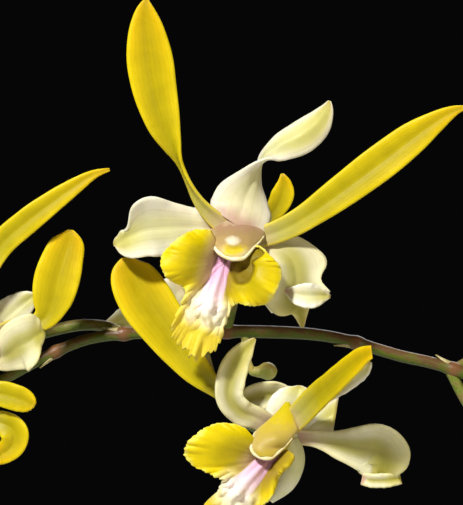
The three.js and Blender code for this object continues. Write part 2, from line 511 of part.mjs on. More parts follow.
// Stalks from the stem to the blooms: [stem, x where it leaves the stem, bloom, points on the way].
const STALKS = [
  ["main", -1, "a", [[0.6, -5, -8]]],
  ["main", -6.4, "b", [[-4, -2, -26], [1, -6, -33]]],
  ["main", -22, "c", [[-25.5, 2.4, -15.2], [-31, 3, -14.9], [-38.4, 2, -16.4]]],
  ["main", -54, "d", [[-57, -6, -33]]],
  ["main", -12, "e", [[-8, 4, -12]]],
  ["main", 45.4, "f", [[56, 6, -19], [74, 11, -14]]],
  ["main", 44.4, "g", [[50.4, 1, -34], [64, 3, -50]]],
  ["back", 122, "i", [[132, 76, -76]]],
  ["back", 160, "j", [[170, 82, -60]]],
  ["back", 200, "k", [[206, 92, -76]]],
];
// KNOB is the swollen end of a stalk whose bloom has dropped. Buds on their own stalks: [stem, x where it leaves the stem, direction, stalk length, bud length].
const KNOB = [
  [2.7, 0, -16.4, 0.8], [3, 1, -21, 0.8], [4.6, 1, -24.2, 0.8], [5.8, 1, -24.3, 1.5], [7.5, 1, -24.3, 1.9], [9.3, 1, -24.3, 0.8],
];
const BUDS = [
  ["main", -72, [-0.3, -0.9, 0.5], 12, 13],
  ["main", -84, [-0.4, 0.7, 0.6], 11, 11],
  ["main", -96, [-0.6, -0.7, 0.3], 9, 9.5],
  ["main", -107, [-0.5, 0.7, 0.1], 7, 8],
  ["back", 222, [0.5, -0.7, 0.5], 11, 12],
  ["back", 232, [0.5, 0.8, 0.3], 9, 9],
  ["back", 239, [0.6, -0.6, 0], 7, 8],
];

// The share along a stem at which it reaches the given x.
function shareAt(rows, x) {
  let best = 0;
  for (let t = 0; t <= 1; t += 0.002) {
    if (Math.abs(along(rows, t)[0] - x) < Math.abs(along(rows, best)[0] - x)) best = t;
  }
  return best;
}

function flowerStem(which) {
  const rows = STEMS[which].map(([x, y, z, r]) => [x + SPRAY.x, y + SPRAY.y, z + SPRAY.z, r]);
  const leaving = (x) => along(rows, shareAt(rows, x + SPRAY.x)).slice(0, 3);
  return (grow) => {
    const pieces = [stem(rows, grow, STEM_STEPS[which], 6)];
    if (which === "main") pieces.push(stem(KNOB.map(([x, y, z, r]) => [x + SPRAY.x, y + SPRAY.y, z + SPRAY.z, r]), grow, 10, 6));
    for (const [from, x, bloom, way] of STALKS) {
      if (from !== which) continue;
      const points = way.map((p) => v3(...p).add(SPRAY).toArray());
      const line = [leaving(x), ...points, ovaryEnd(bloom).toArray()];
      pieces.push(stem(line.map((p) => [...p, 1.15]), grow, way.length + 2, 5));
    }
    for (const [from, x, direction, reach, length] of BUDS) {
      if (from !== which) continue;
      const start = v3(...leaving(x));
      const way = v3(...direction).normalize();
      const at = (d, r) => [...start.clone().addScaledVector(way, d).toArray(), r];
      const swell = length * 0.3;
      const bud = [at(0, 0.7), at(reach * 0.6, 0.7), at(reach, 0.8), at(reach + length * 0.35, swell), at(reach + length * 0.7, swell * 0.8)];
      pieces.push(stem([...bud, at(reach + length, 0.4)], grow, 5, 5));
    }
    return union(pieces);
  };
}

// Leafy canes: base on the bark, top, thickest radius, leaves as [share along the cane, compass side in degrees, length, droop].
const CANES = [
  { name: "main", base: [22, -8], top: [66, -14, 378], radius: 6.6,
    leaves: [[0.5, 200, 92, 0.5], [0.6, 20, 98, 0.45], [0.7, 205, 88, 0.4], [0.79, 15, 92, 0.35], [0.88, 212, 74, 0.2]] },
  { name: "back", base: [-8, 22], top: [-16, 34, 326], radius: 6.2,
    leaves: [[0.48, 120, 90, 0.5], [0.58, 300, 88, 0.5], [0.68, 125, 96, 0.4], [0.78, 305, 78, 0.4], [0.9, 130, 80, 0.2]] },
  { name: "left", base: [-26, -6], top: [-84, -26, 300], radius: 5.8,
    leaves: [[0.4, 190, 84, 0.5], [0.52, 10, 80, 0.4], [0.64, 185, 96, 0.4], [0.76, 5, 78, 0.3], [0.92, 190, 86, 0.15]] },
  { name: "front", base: [4, -28], top: [16, -84, 262], radius: 5.4,
    leaves: [[0.4, 270, 84, 0.5], [0.53, 75, 50, 0.2], [0.66, 265, 92, 0.4], [0.79, 78, 48, 0.2], [0.93, 268, 80, 0.15]] },
  { name: "young", base: [30, 18], top: [72, 52, 216], radius: 4.8,
    leaves: [[0.36, 40, 76, 0.5], [0.5, 215, 50, 0.2], [0.66, 38, 88, 0.35], [0.82, 225, 54, 0.2], [0.95, 45, 78, 0.1]] },
];
const CANE_FOOT = 52;
const CANE_JOINTS = 5;

function leafyCane({ base, top, radius, leaves }) {
  const bottom = v3(base[0], base[1], CANE_FOOT);
  const crown = v3(...top);
  const bow = v3(base[0], base[1], 0).normalize().multiplyScalar(-12);
  const at = (t) => bottom.clone().lerp(crown, t).addScaledVector(bow, 4 * t * (1 - t) * 0.5);
  const rows = [];
  for (let i = 0; i <= 2 * CANE_JOINTS; i++) {
    const t = i / (2 * CANE_JOINTS);
    const swell = 0.62 + 0.42 * Math.sin(Math.PI * Math.min(1, t * 1.12)) - 0.16 * t;
    rows.push([...at(t).toArray(), radius * swell * (i % 2 ? 1 : 0.88)]);
  }
  return (grow) => {
    const pieces = [stem(rows, grow, 2 * CANE_JOINTS, 6)];
    for (const [share, side, length, droop] of leaves) {
      const out = v3(Math.cos(radians(side)), Math.sin(radians(side)), 0);
      const start = at(share);
      const leafRows = [];
      for (const [t, half] of [[0, 4.5], [0.12, 8], [0.3, 12.5], [0.5, 14], [0.7, 12], [0.88, 6.5], [1, 0.8]]) {
        const rise = length * (0.72 * t - (0.42 + droop * 0.7) * t * t);
        const reach = length * (0.55 * t + 0.36 * t * t);
        const p = start.clone().addScaledVector(out, reach).add(v3(0, 0, rise));
        leafRows.push([...p.toArray(), (half * length) / 96, 0, 0.22]);
      }
      const face = out.clone().multiplyScalar(-0.5).add(v3(0, 0, 1)).toArray();
      pieces.push(blade({ rows: leafRows, face }, grow, [4, 2], LEAF_THICKNESS));
    }
    return union(pieces);
  };
}

// The clay pot: a turned wall with a rim band and three drain holes.
function pot(grow) {
  const { footRadius, neckRadius, rimRadius, rimHeight, height, wall, floor } = POT;
  const band = height - rimHeight;
  const profile = [
    [0, 0], [footRadius, 0], [footRadius + 1, 1.5], [neckRadius, band], [rimRadius - 1.5, band], [rimRadius, band + 2],
    [rimRadius, height - 2], [rimRadius - 2, height], [rimRadius - wall, height], [rimRadius - wall - 1, height - 2],
    [neckRadius - wall, band - 4], [footRadius - wall, floor], [0, floor],
  ];
  const outward = profile.map(([r, z]) => new THREE.Vector2(r, z));
  const body = manifoldOf(new THREE.LatheGeometry(outward, POT_SIDES).rotateX(Math.PI / 2));
  const holes = [];
  for (let k = 0; k < DRAIN.count; k++) {
    const angle = (2 * Math.PI * k) / DRAIN.count;
    const [x, y] = [DRAIN.circle * Math.cos(angle), DRAIN.circle * Math.sin(angle)];
    holes.push(stem([[x, y, -5, DRAIN.radius], [x, y, floor + 5, DRAIN.radius]], 0, 1, 10));
  }
  return grow ? body : body.subtract(union(holes));
}

// The bark: a filling with chips of bark lying over its top.
function bark() {
  const { footRadius, neckRadius, rimRadius, rimHeight, height, wall, floor } = POT;
  const band = height - rimHeight;
  const inside = (z) => {
    if (z < band - 4) return footRadius - wall + ((neckRadius - footRadius) * (z - floor)) / (band - 4 - floor);
    return neckRadius - wall + ((rimRadius - 1 - neckRadius) * (z - band + 4)) / (height - 2 - band + 4);
  };
  const clear = (z) => inside(z) - 2 * GAP;
  const low = floor + GAP;
  const profile = [[0, low], [clear(low), low], [clear(band - 4), band - 4], [clear(BARK_TOP - 3), BARK_TOP - 3], [40, BARK_TOP - 1], [0, BARK_TOP]];
  const filling = manifoldOf(
    new THREE.LatheGeometry(profile.map(([r, z]) => new THREE.Vector2(r, z)), POT_SIDES).rotateX(Math.PI / 2),
  );
  const draw = seeded(7);
  const chips = [];
  for (let k = 0; k < CHIPS; k++) {
    const radius = 47 * Math.sqrt((k + 0.5) / CHIPS);
    const angle = 2.39996 * k;
    const size = [13 + 9 * draw(), 9 + 6 * draw(), 5 + 4 * draw()];
    const chip = new THREE.BoxGeometry(...size, 1, 1, 1);
    const corners = chip.attributes.position;
    for (let i = 0; i < corners.count; i++) {
      const key = Math.sign(corners.getX(i)) * 0.9 + Math.sign(corners.getY(i)) * 1.7 + Math.sign(corners.getZ(i)) * 0.4 + k;
      corners.setX(i, corners.getX(i) * (0.82 + 0.18 * Math.sin(3 * key)));
      corners.setY(i, corners.getY(i) * (0.8 + 0.2 * Math.cos(5 * key)));
    }
    chip.rotateX(0.7 * (draw() - 0.5)).rotateY(0.6 * (draw() - 0.5)).rotateZ(6.28 * draw());
    chip.translate(radius * Math.cos(angle), radius * Math.sin(angle), BARK_TOP + 0.6 * draw());
    chips.push(manifoldOf(chip));
  }
  return union([filling, ...chips]);
}

// Every piece in the order in which it wins a place: a later piece is cut clear of the earlier ones.
const ORIGIN = v3(0, 0, 0);
const pieces = [{ name: "pot", make: pot, colour: COLOURS.pot, place: ORIGIN }];
for (const [letter, form, frame, detail] of BLOOMS) {
  const made = bloomPieces(form, detail);
  const place = v3(0, 0, 0).applyMatrix4(frame);
  for (const kind of ["lip", "column", "petals", "sepals"]) {
    const colour = COLOURS[{ lip: "lip", column: "column", petals: "petal", sepals: "sepal" }[kind]];
    pieces.push({ name: `bloom_${letter}_${kind}`, make: (grow) => made[kind](grow).transform(frame.elements), colour, place });
  }
}
for (const which of Object.keys(STEMS)) {
  pieces.push({ name: `flower_stem_${which}`, make: flowerStem(which), colour: COLOURS.stem, place: SPRAY });
}
for (const cane of CANES) {
  pieces.push({ name: `leafy_cane_${cane.name}`, make: leafyCane(cane), colour: COLOURS.cane, place: ORIGIN });
}
pieces.push({ name: "bark", make: bark, colour: COLOURS.bark, place: ORIGIN });

const boxesMeet = (a, b) => [0, 1, 2].every((k) => a.min[k] < b.max[k] + 1 && b.min[k] < a.max[k] + 1);

const plant = new THREE.Group();
const placed = [];
for (const piece of pieces) {
  let solid = piece.make(0);
  const box = solid.boundingBox();
  for (const other of placed) {
    if (boxesMeet(box, other.box)) solid = solid.subtract(other.grown);
  }
  solid = largest(solid.simplify(SLIVER));
  placed.push({ box: solid.boundingBox(), grown: piece.make(GAP) });
  const mesh = solid.getMesh();
  const geometry = new THREE.BufferGeometry();
  geometry.setAttribute("position", new THREE.BufferAttribute(mesh.vertProperties, 3));
  geometry.setIndex(new THREE.BufferAttribute(mesh.triVerts, 1));
  geometry.translate(-piece.place.x, -piece.place.y, -piece.place.z);
  geometry.computeVertexNormals();
  const material = new THREE.MeshStandardMaterial({ color: piece.colour, roughness: 0.6, metalness: 0, flatShading: true });
  const part = new THREE.Mesh(geometry, material);
  part.name = piece.name;
  part.position.copy(piece.place);
  plant.add(part);
}

export default plant;
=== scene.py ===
"""A potted dendrobium orchid of the antelope kind: golden horn-like petals, cream sepals, ruffled lips.

Every surface is a function of two parameters, worked out with numpy in millimetres and in the frame
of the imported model, and is put into its mesh in metres.
"""

import math
from functools import partial

import bpy
import numpy as np
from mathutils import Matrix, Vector


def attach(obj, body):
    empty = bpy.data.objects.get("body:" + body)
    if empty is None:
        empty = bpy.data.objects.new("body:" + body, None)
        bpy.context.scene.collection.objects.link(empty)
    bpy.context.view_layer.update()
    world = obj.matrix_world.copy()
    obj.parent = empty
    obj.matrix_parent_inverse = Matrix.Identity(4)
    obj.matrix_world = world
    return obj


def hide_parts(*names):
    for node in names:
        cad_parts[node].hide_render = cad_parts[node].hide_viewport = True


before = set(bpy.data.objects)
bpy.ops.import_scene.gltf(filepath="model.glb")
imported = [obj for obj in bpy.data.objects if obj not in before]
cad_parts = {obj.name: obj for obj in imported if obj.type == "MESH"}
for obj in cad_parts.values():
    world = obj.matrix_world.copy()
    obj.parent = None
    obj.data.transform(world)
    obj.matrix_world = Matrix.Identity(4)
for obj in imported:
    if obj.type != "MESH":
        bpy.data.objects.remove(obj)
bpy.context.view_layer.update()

bl_info = {
    "name": "Potted Dendrobium Orchid",
    "version": (1, 0, 0),
    "blender": (4, 5, 0),
    "location": "3D Viewport > Sidebar > Orchid",
    "description": "Dresses the packed orchid in petals, sepals, lips, stems, leaves, bark and a clay pot",
    "category": "Object",
}

SPRAY = np.array([-80.0, -15.0, 545.0])  # the middle of the flowering spray, mm
MM = 0.001  # a millimetre in metres
NEAR_BLOOMS = "abcde"  # the blooms that the photograph shows, with the finer meshes
NEAREST_LIPS = "ab"  # the lips that it shows in full

# ---------------------------------------------------------------- shapes of the blooms, mm
# Rows of a blade: [x, y, z, half width, roll in degrees, cup, slant]; see blade_surface. A row may stop early.
PLAIN_ROW_END = [0, 0.1, 0]  # the roll, cup and slant of a row that gives none
PETAL = [
    [1.6, 0.6, 1.2, 1.5, 0, 0.1], [5.2, 0.2, 6, 1.2, -20, 0.1], [8.4, 0, 11.4, 1.2, -60, 0.1],
    [11.6, -1, 17.4, 2.6, -110, 0.1], [15.2, -1.5, 24.4, 4, -150, 0.1], [18.4, -2, 31.4, 4.5, -165, 0.1],
    [20.8, -2, 37.4, 3.5, -170, 0.1], [22.4, -1.5, 41.4, 1.7, -170, 0], [23, -1, 43.6, 0.3, -170, 0],
]
DORSAL_SEPAL = [
    [0, 2.6, 0.6, 4.4, 0, -0.2], [0, 1.6, 5.4, 5.4, 0, -0.25], [0.5, 1.6, 10, 4.4, 30, -0.2],
    [1.5, 3, 14.4, 3.2, 85, 0], [2.6, 5, 18.8, 3.2, 135, 0.2], [4, 6, 23, 2.4, 170, 0.2],
    [5, 6.5, 26.4, 0.3, 180, 0],
]
LATERAL_SEPAL = [
    [1.6, 2.8, -0.6, 3.2, 0, 0.1], [7, 1.6, -3, 4.4, 0, 0.15], [12, 0.6, -6.2, 5.4, -10, 0.2],
    [16.4, 1.4, -9.4, 5, -25, 0.2], [19.2, 4, -12.2, 3.2, -45, 0.1], [20.2, 7.2, -14.4, 0.4, -55, 0],
]
SEPAL_WAVE = {"height": 1.3, "count": 1.6, "start": 0.1, "shift": 1.2}
# The lip's edge: [angle from the midline in degrees, distance from the throat, rise towards the viewer].
LIP_EDGE = [
    [-142, 5.5, 2], [-112, 9.8, 5], [-84, 12.4, 6.5], [-60, 12.4, 6], [-42, 10.6, 4], [-28, 12, 3], [-15, 18, 4],
    [0, 19.8, 6], [15, 18, 4], [28, 12, 3], [42, 10.6, 4], [60, 12.4, 6], [84, 12.4, 6.5], [112, 9.8, 5],
    [142, 5.5, 2],
]

# The column's hood, row by row downwards: height, left edge, right edge, depth in the middle, depth at the sides.
HOOD = [
    [5.6, -2.8, 2.4, 3, 4.6], [4.4, -4.2, 3.6, 1.6, 4], [3.3, -5.2, 4.3, 0.5, 3.2], [2.2, -5.9, 4.7, -0.9, 2.2],
    [0.9, -6.3, 4.9, -2.7, 0.8], [-0.5, -5.9, 4.1, -4.1, -1.4], [-1.9, -5.1, 2.7, -5, -3.3],
    [-3.2, -3.9, 1.6, -5.5, -4.6], [-4.2, -1.9, 0.5, -5.6, -5.3],
]

# The ovary from its stalk to the column: [x, y, z, radius].
OVARY = [[0, 9, -1.4, 1.4], [0, 6, -1, 1.9], [0, 3.4, -0.4, 2.8], [0, 2, 0, 3]]

# A bloom's form. The centre is that of the column, from the spray's middle. Each petal and sepal has its rows, and
# may have the finish it takes (petals: 0 golden, 1 cream; sepals: 0 cream, 1 green, 2 golden, 3 greener cream that
# is partly painted shade), notches as [side, place, width, depth], a wave, and the way its face looks. A form may
# also say that the bloom is seen from the back or has a fresh column, and may give the turns of lip and column and
# the lip's nod in degrees, the places of throat and ridge, an edge like LIP_EDGE, a hood like HOOD, a spur as
# [x, y, z, radius] and a hollow in the lip, sunk and partly painted shade, as [first angle, last angle, depth].
BLOOM_A = {
    "centre": [1.7, -22, 2.9],
    "petals": [
        {"rows": [
            [-1.6, 0.6, 1, 1.7], [-4.8, 0.4, 3.6, 1.7, -10], [-7.8, 0, 6.8, 1.4, -35], [-10, -0.6, 10.4, 1.1, -60],
            [-11.8, -1.2, 14.4, 1.1, -66], [-13.6, -2, 18.6, 2.2, -25, 0.12], [-15.4, -2.6, 23.4, 3.5, 0, 0.14],
            [-17, -3, 29.4, 4.4, 6, 0.12], [-18, -3.4, 35.6, 4.6, 6], [-18.6, -3.6, 41.2, 3.6, 4, 0.08],
            [-18.8, -3.8, 45.2, 2, 0, 0.04], [-18.6, -3.8, 47.6, 0.3, 0, 0],
        ]},
        {"rows": [
            [1.8, 1.6, -0.4, 2], [5.6, 1.1, 0.6, 2.2], [9.6, 0.2, 2.2, 2.4], [14, -0.6, 4.8, 2.7, -4],
            [20.2, -1.4, 9.2, 3.3, -6, 0.12], [28, -2.2, 15, 3.6, -6, 0.12], [34.2, -2.8, 19.8, 3.2, -4],
            [39, -3.2, 23.2, 2.1, 0, 0.06], [42.4, -3.4, 25.2, 1.1, 0, 0], [45, -3.4, 26, 0.3, 0, 0],
        ]},
    ],
    "sepals": [
        {"rows": [
            [-0.8, -0.8, 2.4, 5.3, 0, -0.3, -0.42], [-0.3, -0.3, 4.2, 6.1, 0, -0.3, -0.22],
            [0.3, 0.1, 6, 6.3, 0, -0.3, -0.06], [0.9, 0.5, 8, 5.6, 10, -0.32], [2.4, 0.4, 11.2, 3.9, 40, -0.3],
            [4.1, 0.8, 14.6, 3, 84, -0.1], [5.8, 1.6, 16.8, 2.8, 128, 0.16], [8.6, 2, 18.6, 3.1, 158, 0.3],
            [12.4, 2, 20.4, 3.4, 170, 0.32], [15.4, 1.6, 22.8, 2.8, 172, 0.3], [17.2, 1.2, 25.4, 1.6, 172],
            [17.9, 1, 27.4, 0.3, 172, 0],
        ]},
        {"rows": [
            [-1.4, 2.8, 0.4, 2.6], [-6.4, 1.8, 2, 3.2], [-11, 1, 2.2, 4.4, 0, 0.16, 0.1],
            [-15.4, 0.4, 2, 5.6, 0, 0.24, 0], [-19, 0.4, 1.6, 5.4, 0, 0.3, 0], [-22, 1, 0.4, 4.2, 0, 0.2, -0.3],
            [-24, 2, -0.7, 2.4, 0, 0, -0.3], [-25.3, 2.8, -1.2, 0.3, 0, 0],
        ], "notches": [[1, 0.51, 0.08, -0.13], [1, 0.735, 0.08, 0.72], [1, 0.87, 0.07, 0.45]],
            "wave": {"height": 1.5, "count": 1.2, "start": 0.2, "shift": 2.4}},
        {"rows": [
            [1.6, 2.8, -0.4, 2.8], [6.4, 2, -1.6, 3.4, -10], [10, 1.2, -4, 5.2, -24, 0.12],
            [11.2, 0.4, -7.4, 6.3, -26, 0.12], [11, 0.2, -10.6, 6.8, -20], [11.2, 0.8, -13, 5.4, 0, 0],
            [12, 2.4, -14.6, 2, 0, 0], [12.5, 3.6, -17.9, 0.3, 0, 0],
        ], "finish": 3, "notches": [[-1, 0.345, 0.05, -0.2], [-1, 0.46, 0.045, 0.26]],
            "wave": {"height": 1.2, "count": 1.3, "start": 0.55, "shift": 2.2}},
        {"rows": [
            [9, -0.6, -10.4, 0.4, 0, 0], [11.2, -2, -11.2, 1.9, 0, 0.2], [13.8, -2.6, -11.5, 2.5, 0, 0.3],
            [16.2, -2, -11.5, 1.7, 0, 0.2], [18, -1, -11.7, 0.3, 0, 0],
        ]},
    ],
    "lip_turn": 20,
    "crest_offset": -0.4,
    "throat": [-3, -4.8],
    "column_turn": 0,
    "hood": [
        [4.6, -4.2, 2.8, 0.8, 3.1], [4, -4.8, 3.4, 0.5, 2.9], [3.3, -5.4, 4, 0, 2.8], [2.2, -5.9, 4.6, -0.9, 2.2],
        [0.9, -6.3, 4.9, -2.7, 0.8], [-0.5, -5.9, 4.1, -4.1, -1.4], [-1.9, -5.1, 2.7, -5, -3.3],
        [-3.2, -3.9, 1.6, -5.5, -4.6], [-4.2, -1.9, 0.5, -5.6, -5.3],
    ],
    "spur": [[1, 3, -1, 2.4], [3.6, 4, -6, 2.4], [5.6, 4.4, -11, 2.2], [7, 4.6, -14.8, 0.9]],
    "lip_edge": [
        [-150, 4.4, 1], [-134, 7.6, 3.4], [-118, 9, 5], [-103, 11.2, 6], [-84, 11.6, 6.5], [-66, 11.6, 6],
        [-49, 9.9, 5], [-38, 8.6, 4], [-27, 9.4, 3], [-20, 12.6, 3.4], [-15, 16.8, 4], [-4, 19.9, 5], [5, 18.6, 5],
        [13, 18.4, 4], [20, 16.2, 3.4], [26, 12, 3], [34, 9.7, 4], [44, 10.2, 5], [56, 12, 6], [72, 12.7, 6.5],
        [91, 11, 6], [114, 8.9, 4.4], [136, 6.9, 2],
    ],
    "hollow": [-152, -50, 2],
}
BLOOM_B = {
    "centre": [10.3, -20, -36.5],
    "petals": [
        {"rows": [
            [-1.4, 1.8, 1, 1.5], [-4.6, 2.6, 3.2, 1.5], [-8.6, 2.4, 6, 1.5, -10], [-12.8, 2, 8.8, 1.8, -20, 0.12],
            [-17.2, 2, 12.8, 3, -10, 0.15], [-20.8, 2.6, 17.4, 4.1, 0, 0.16], [-24, 3, 21.8, 4.9, 6, 0.15],
            [-27, 3.4, 26, 5.4, 8, 0.14], [-29.4, 3.6, 30, 5.1, 8], [-30.9, 3.8, 33.2, 3.8, 6, 0.06],
            [-31.4, 3.9, 35.6, 0.9, 0, 0],
        ]},
        {"rows": [
            [1.4, 0.6, 2, 2.2, -10], [3.8, -1.6, 4.6, 2.7, -26, 0.08], [6.7, -6.4, 7.8, 2.9, -32, 0.06],
            [9.6, -12.6, 10.7, 2.7, -34, 0.04], [12.4, -18.4, 13.6, 2.5, -34, 0.04],
            [15, -22.6, 16, 2.1, -32, 0.04], [16.9, -25.4, 17.2, 1.3, -30, 0],
        ]},
        {"rows": [
            [8.4, -7.6, 6.9, 0.4], [11.2, -12.2, 9.3, 1, 10, 0.2], [14, -17.4, 11.8, 1.3, 16, 0.3],
            [15.9, -21.2, 13.7, 1, 16, 0.2], [16.7, -24, 15.2, 0.3, 0, 0],
        ], "finish": 1},
    ],
    "sepals": [
        {"rows": [
            [1.2, 2.8, -1, 4.4, 0, -0.1], [1.7, 2.6, 2.2, 5.4, 0, -0.12], [2.2, 2.9, 5.2, 5.4, 0, -0.12, 0.05],
            [2.8, 3.4, 7.5, 4.4, 0, -0.1, 0.05], [3.2, 3.8, 9, 2.6, 0, -0.06, 0], [3.3, 4, 9.8, 0.4, 0, 0],
        ]},
        {"rows": [
            [2.4, 2.8, 0.6, 1.2], [5.2, 2.9, 2, 1.8, -10, 0.1, -0.2], [8.2, 3, 3.2, 2.9, -10, 0.1, -0.45],
            [10.7, 3, 4.2, 3.6, -6, 0, -0.6],
        ]},
        {"rows": [
            [3.4, 7, 6, 1.6, 0, 0.3], [-0.8, 6.6, 7.6, 2.6, 0, 0.5], [-4.2, 5.4, 7.7, 2.7, 0, 0.5],
            [-7.2, 4.8, 6.9, 2.2, 0, 0.4], [-9, 4.6, 6, 0.9, 0, 0], [-9.7, 4.4, 5.4, 0.3, 0, 0],
        ], "finish": 3},
        {"rows": [
            [-1, 2.8, 0.6, 2], [-5, 1, 3.2, 2.3, 0, 0.12], [-8.4, -0.6, 4.6, 2.6, 0, 0.14],
            [-10.6, -1.6, 7.2, 2.8, 10, 0.18], [-10.7, -1.8, 10.4, 3, 14, 0.18], [-9.6, -1.2, 14, 2.8, 12, 0.18],
            [-7.6, -0.4, 17, 1.9, 6], [-5.6, 0, 19.3, 0.3, 0, 0],
        ], "finish": 3},
        {"rows": [
            [1.6, 2.8, -0.4, 1.6, 10], [6.4, 2, -0.8, 1.8, 22], [11, 1.2, -1.8, 2.9, 28],
            [15.2, 0.4, -2.4, 5, 30, 0.12, 0.1], [18.6, 0, -2.8, 6.2, 24, 0.12, 0.1],
            [20.2, 0.6, -5.4, 4.8, 12, 0.08, 0], [19.9, 2, -8, 3.7], [19.8, 2.8, -10, 3.4, 0, 0],
        ], "notches": [[-1, 0.68, 0.07, -0.16], [-1, 0.8, 0.045, 0.2]], "finish": 3,
            "wave": {"height": 0.8, "count": 1.2, "start": 0.5, "shift": 2.2}},
        {"rows": [
            [15.9, 1.8, -8.9, 1.2, 0, 0.15], [18, 1.2, -9.2, 1.4, 0, 0.2], [21, 1.2, -9.1, 1.4, 0, 0.2],
            [23.6, 1.8, -8.7, 1.2, 0, 0.15],
        ], "finish": 3},
    ],
    "lip_turn": 45,
    "fresh": True,
    "throat": [-2.6, -4.4],
    "column_turn": 0,
    "hood": [
        [6.2, 0.5, 1.3, 1.4, 1.6], [4.5, -1.2, 1.9, -0.4, 0.6], [2.9, -3, 2.4, -1.8, -0.4],
        [1.2, -5.1, 2.9, -3.2, -1.4], [0, -5.9, 2.2, -4.2, -2.6], [-1.4, -6.3, 1, -5, -3.8],
        [-2.7, -6.3, -0.3, -5.5, -4.6], [-3.7, -5.5, -1.5, -5.6, -5], [-4.4, -4, -2.4, -5.5, -5.2],
    ],
    "spur": [[1, 3, -1, 2.6], [2, 3.4, -5, 2.9], [0.6, 4, -9.6, 2.5], [-2.4, 5, -13.4, 0.8]],
    "lip_edge": [
        [-158, 3.6, 3], [-142, 4.8, 7], [-121, 4.2, 9.5], [-100, 3.6, 9.5], [-78, 3.8, 8.4], [-60, 5.2, 6],
        [-45, 8, 5], [-33, 10.4, 3.4], [-21, 15.4, 3.6], [-8, 19.8, 5], [2, 20.4, 5.4], [8, 17, 4.6],
        [13, 12.4, 3.6], [20, 10.6, 3.2], [27, 11.4, 3.6], [34, 13.4, 4.2], [40, 15.6, 5], [47, 17, 5.4],
        [55, 16.8, 5.4], [64, 15.4, 5.2], [74, 13.4, 4.8], [84, 11, 4], [95, 7.8, 2.4],
    ],
}
BLOOM_C = {
    "centre": [-50.3, -14, -18.5],
    "petals": [
        {"rows": [
            [-1, 0.6, 0.4, 1.5], [-1.2, 0.4, 7.6, 1.6], [0.4, 0, 14, 2.2, 0, 0.12], [4, -0.4, 20.2, 2.6, 0, 0.12],
            [9.2, -0.8, 24.8, 2.6, 0, 0.12], [14.4, -1, 28.8, 2.2], [19, -1.2, 32, 1.6, 0, 0.06],
            [22.6, -1.2, 34.2, 0.9, 0, 0], [25.8, -1.2, 35.2, 0.3, 0, 0],
        ]},
        {"rows": [
            [1.2, 0.6, 1, 1.4], [5.4, 1.8, 3.4, 1.4], [9.6, 2.4, 3.8, 1.6], [12.6, 2.6, 5.4, 2.5, 0, 0.12],
            [14, 2.6, 8.8, 4, 0, 0.14], [15, 2.6, 13, 4.6, 0, 0.12], [16.2, 2.8, 17.2, 4.2],
            [17.4, 3, 20.8, 3.2, 0, 0.05], [17.8, 3, 23.1, 0.6, 0, 0],
        ]},
    ],
    "sepals": [
        {"rows": [
            [0.4, 2.8, 0.4, 3.6, 0, -0.1], [3.4, 4.8, 4, 4, 0, -0.1], [6.6, 5.6, 7, 3.2, 0, 0],
            [9.2, 6, 9, 2, 0, 0], [10.8, 6, 10, 0.3, 0, 0],
        ]},
        {"rows": [
            [1.2, 2.8, -1.8, 2.2], [4.4, 0.8, -2.6, 2.9, 0, 0.16], [7.4, -0.8, -0.4, 5.2, 0, 0.22, -0.1],
            [10, -1, 1, 4.8, 0, 0.3, -0.4], [11.6, -0.4, 2, 2.6, 0, 0.1, -0.5], [12.6, 0.6, 2.6, 0.3, 0, 0],
        ], "finish": 3, "wave": {"height": 1.4, "count": 1.1, "start": 0.3, "shift": 2.4}},
        {"rows": [
            [-1.2, 2.8, -0.6, 2.8], [-6, 1.6, -3, 4, 0, 0.15], [-10.4, 1, -6.6, 5, 0, 0.2],
            [-13.6, 2, -10.4, 3.8, 0, 0.2], [-15.2, 4, -13.6, 0.4, 0, 0],
        ]},
    ],
    "lip_turn": 80,
}
BLOOM_D = {
    "centre": [-55.5, -24, -34.5],
    "petals": [
        {"rows": [
            [1.4, 0.6, 1.4, 1.5], [4.6, 0, 5.2, 1.8], [9, -0.6, 6.4, 2.5], [12.6, -1, 5.6, 2.6],
            [14.8, -1.2, 4.8, 2.2, 0, 0], [16, -1.2, 4.3, 1.3, 0, 0], [16.4, -1.2, 4.1, 0.4, 0, 0],
        ]},
        {"rows": [
            [-1.6, 0.6, 0.6, 1.5], [-7, 0, 3.6, 1.4, -20], [-13, -1, 7, 2.6, -30], [-20, -2, 11, 4, -20],
            [-27, -3, 15, 4.2], [-33, -3, 18, 2.4, 0, 0], [-36, -3, 19, 0.4, 0, 0],
        ]},
    ],
    "sepals": [
        {"rows": [
            [-0.4, 2.8, 0.4, 4, 0, -0.2], [-2.4, 3.4, 5, 4.8, 0, -0.2], [-4.6, 6, 9, 3.8, 20, -0.1],
            [-6.4, 9.6, 12, 2.6, 40, 0], [-8, 13, 14, 0.4, 60, 0],
        ]},
        {"rows": [
            [1.2, 2.8, -0.6, 2.2], [6, 2, 0.6, 2.2], [10, 1.2, 0.4, 2.5, 0, 0.15], [12.2, 0.8, -1.4, 2.8, 0, 0.2],
            [11.8, 0.8, -4, 2.5, 0, 0.2], [9.4, 1.2, -6, 1.9], [6.8, 1.8, -7.6, 0.4, 0, 0],
        ], "finish": 2},
        {"rows": [
            [-1.2, 2.8, -0.8, 2.8], [-6, 1.6, -3.6, 4, 0, 0.15], [-10, 1, -8, 5, 0, 0.2],
            [-12.6, 2, -12.4, 3.6, 0, 0.2], [-13.6, 4, -16, 0.4, 0, 0],
        ]},
    ],
    "lip_turn": 25,
}
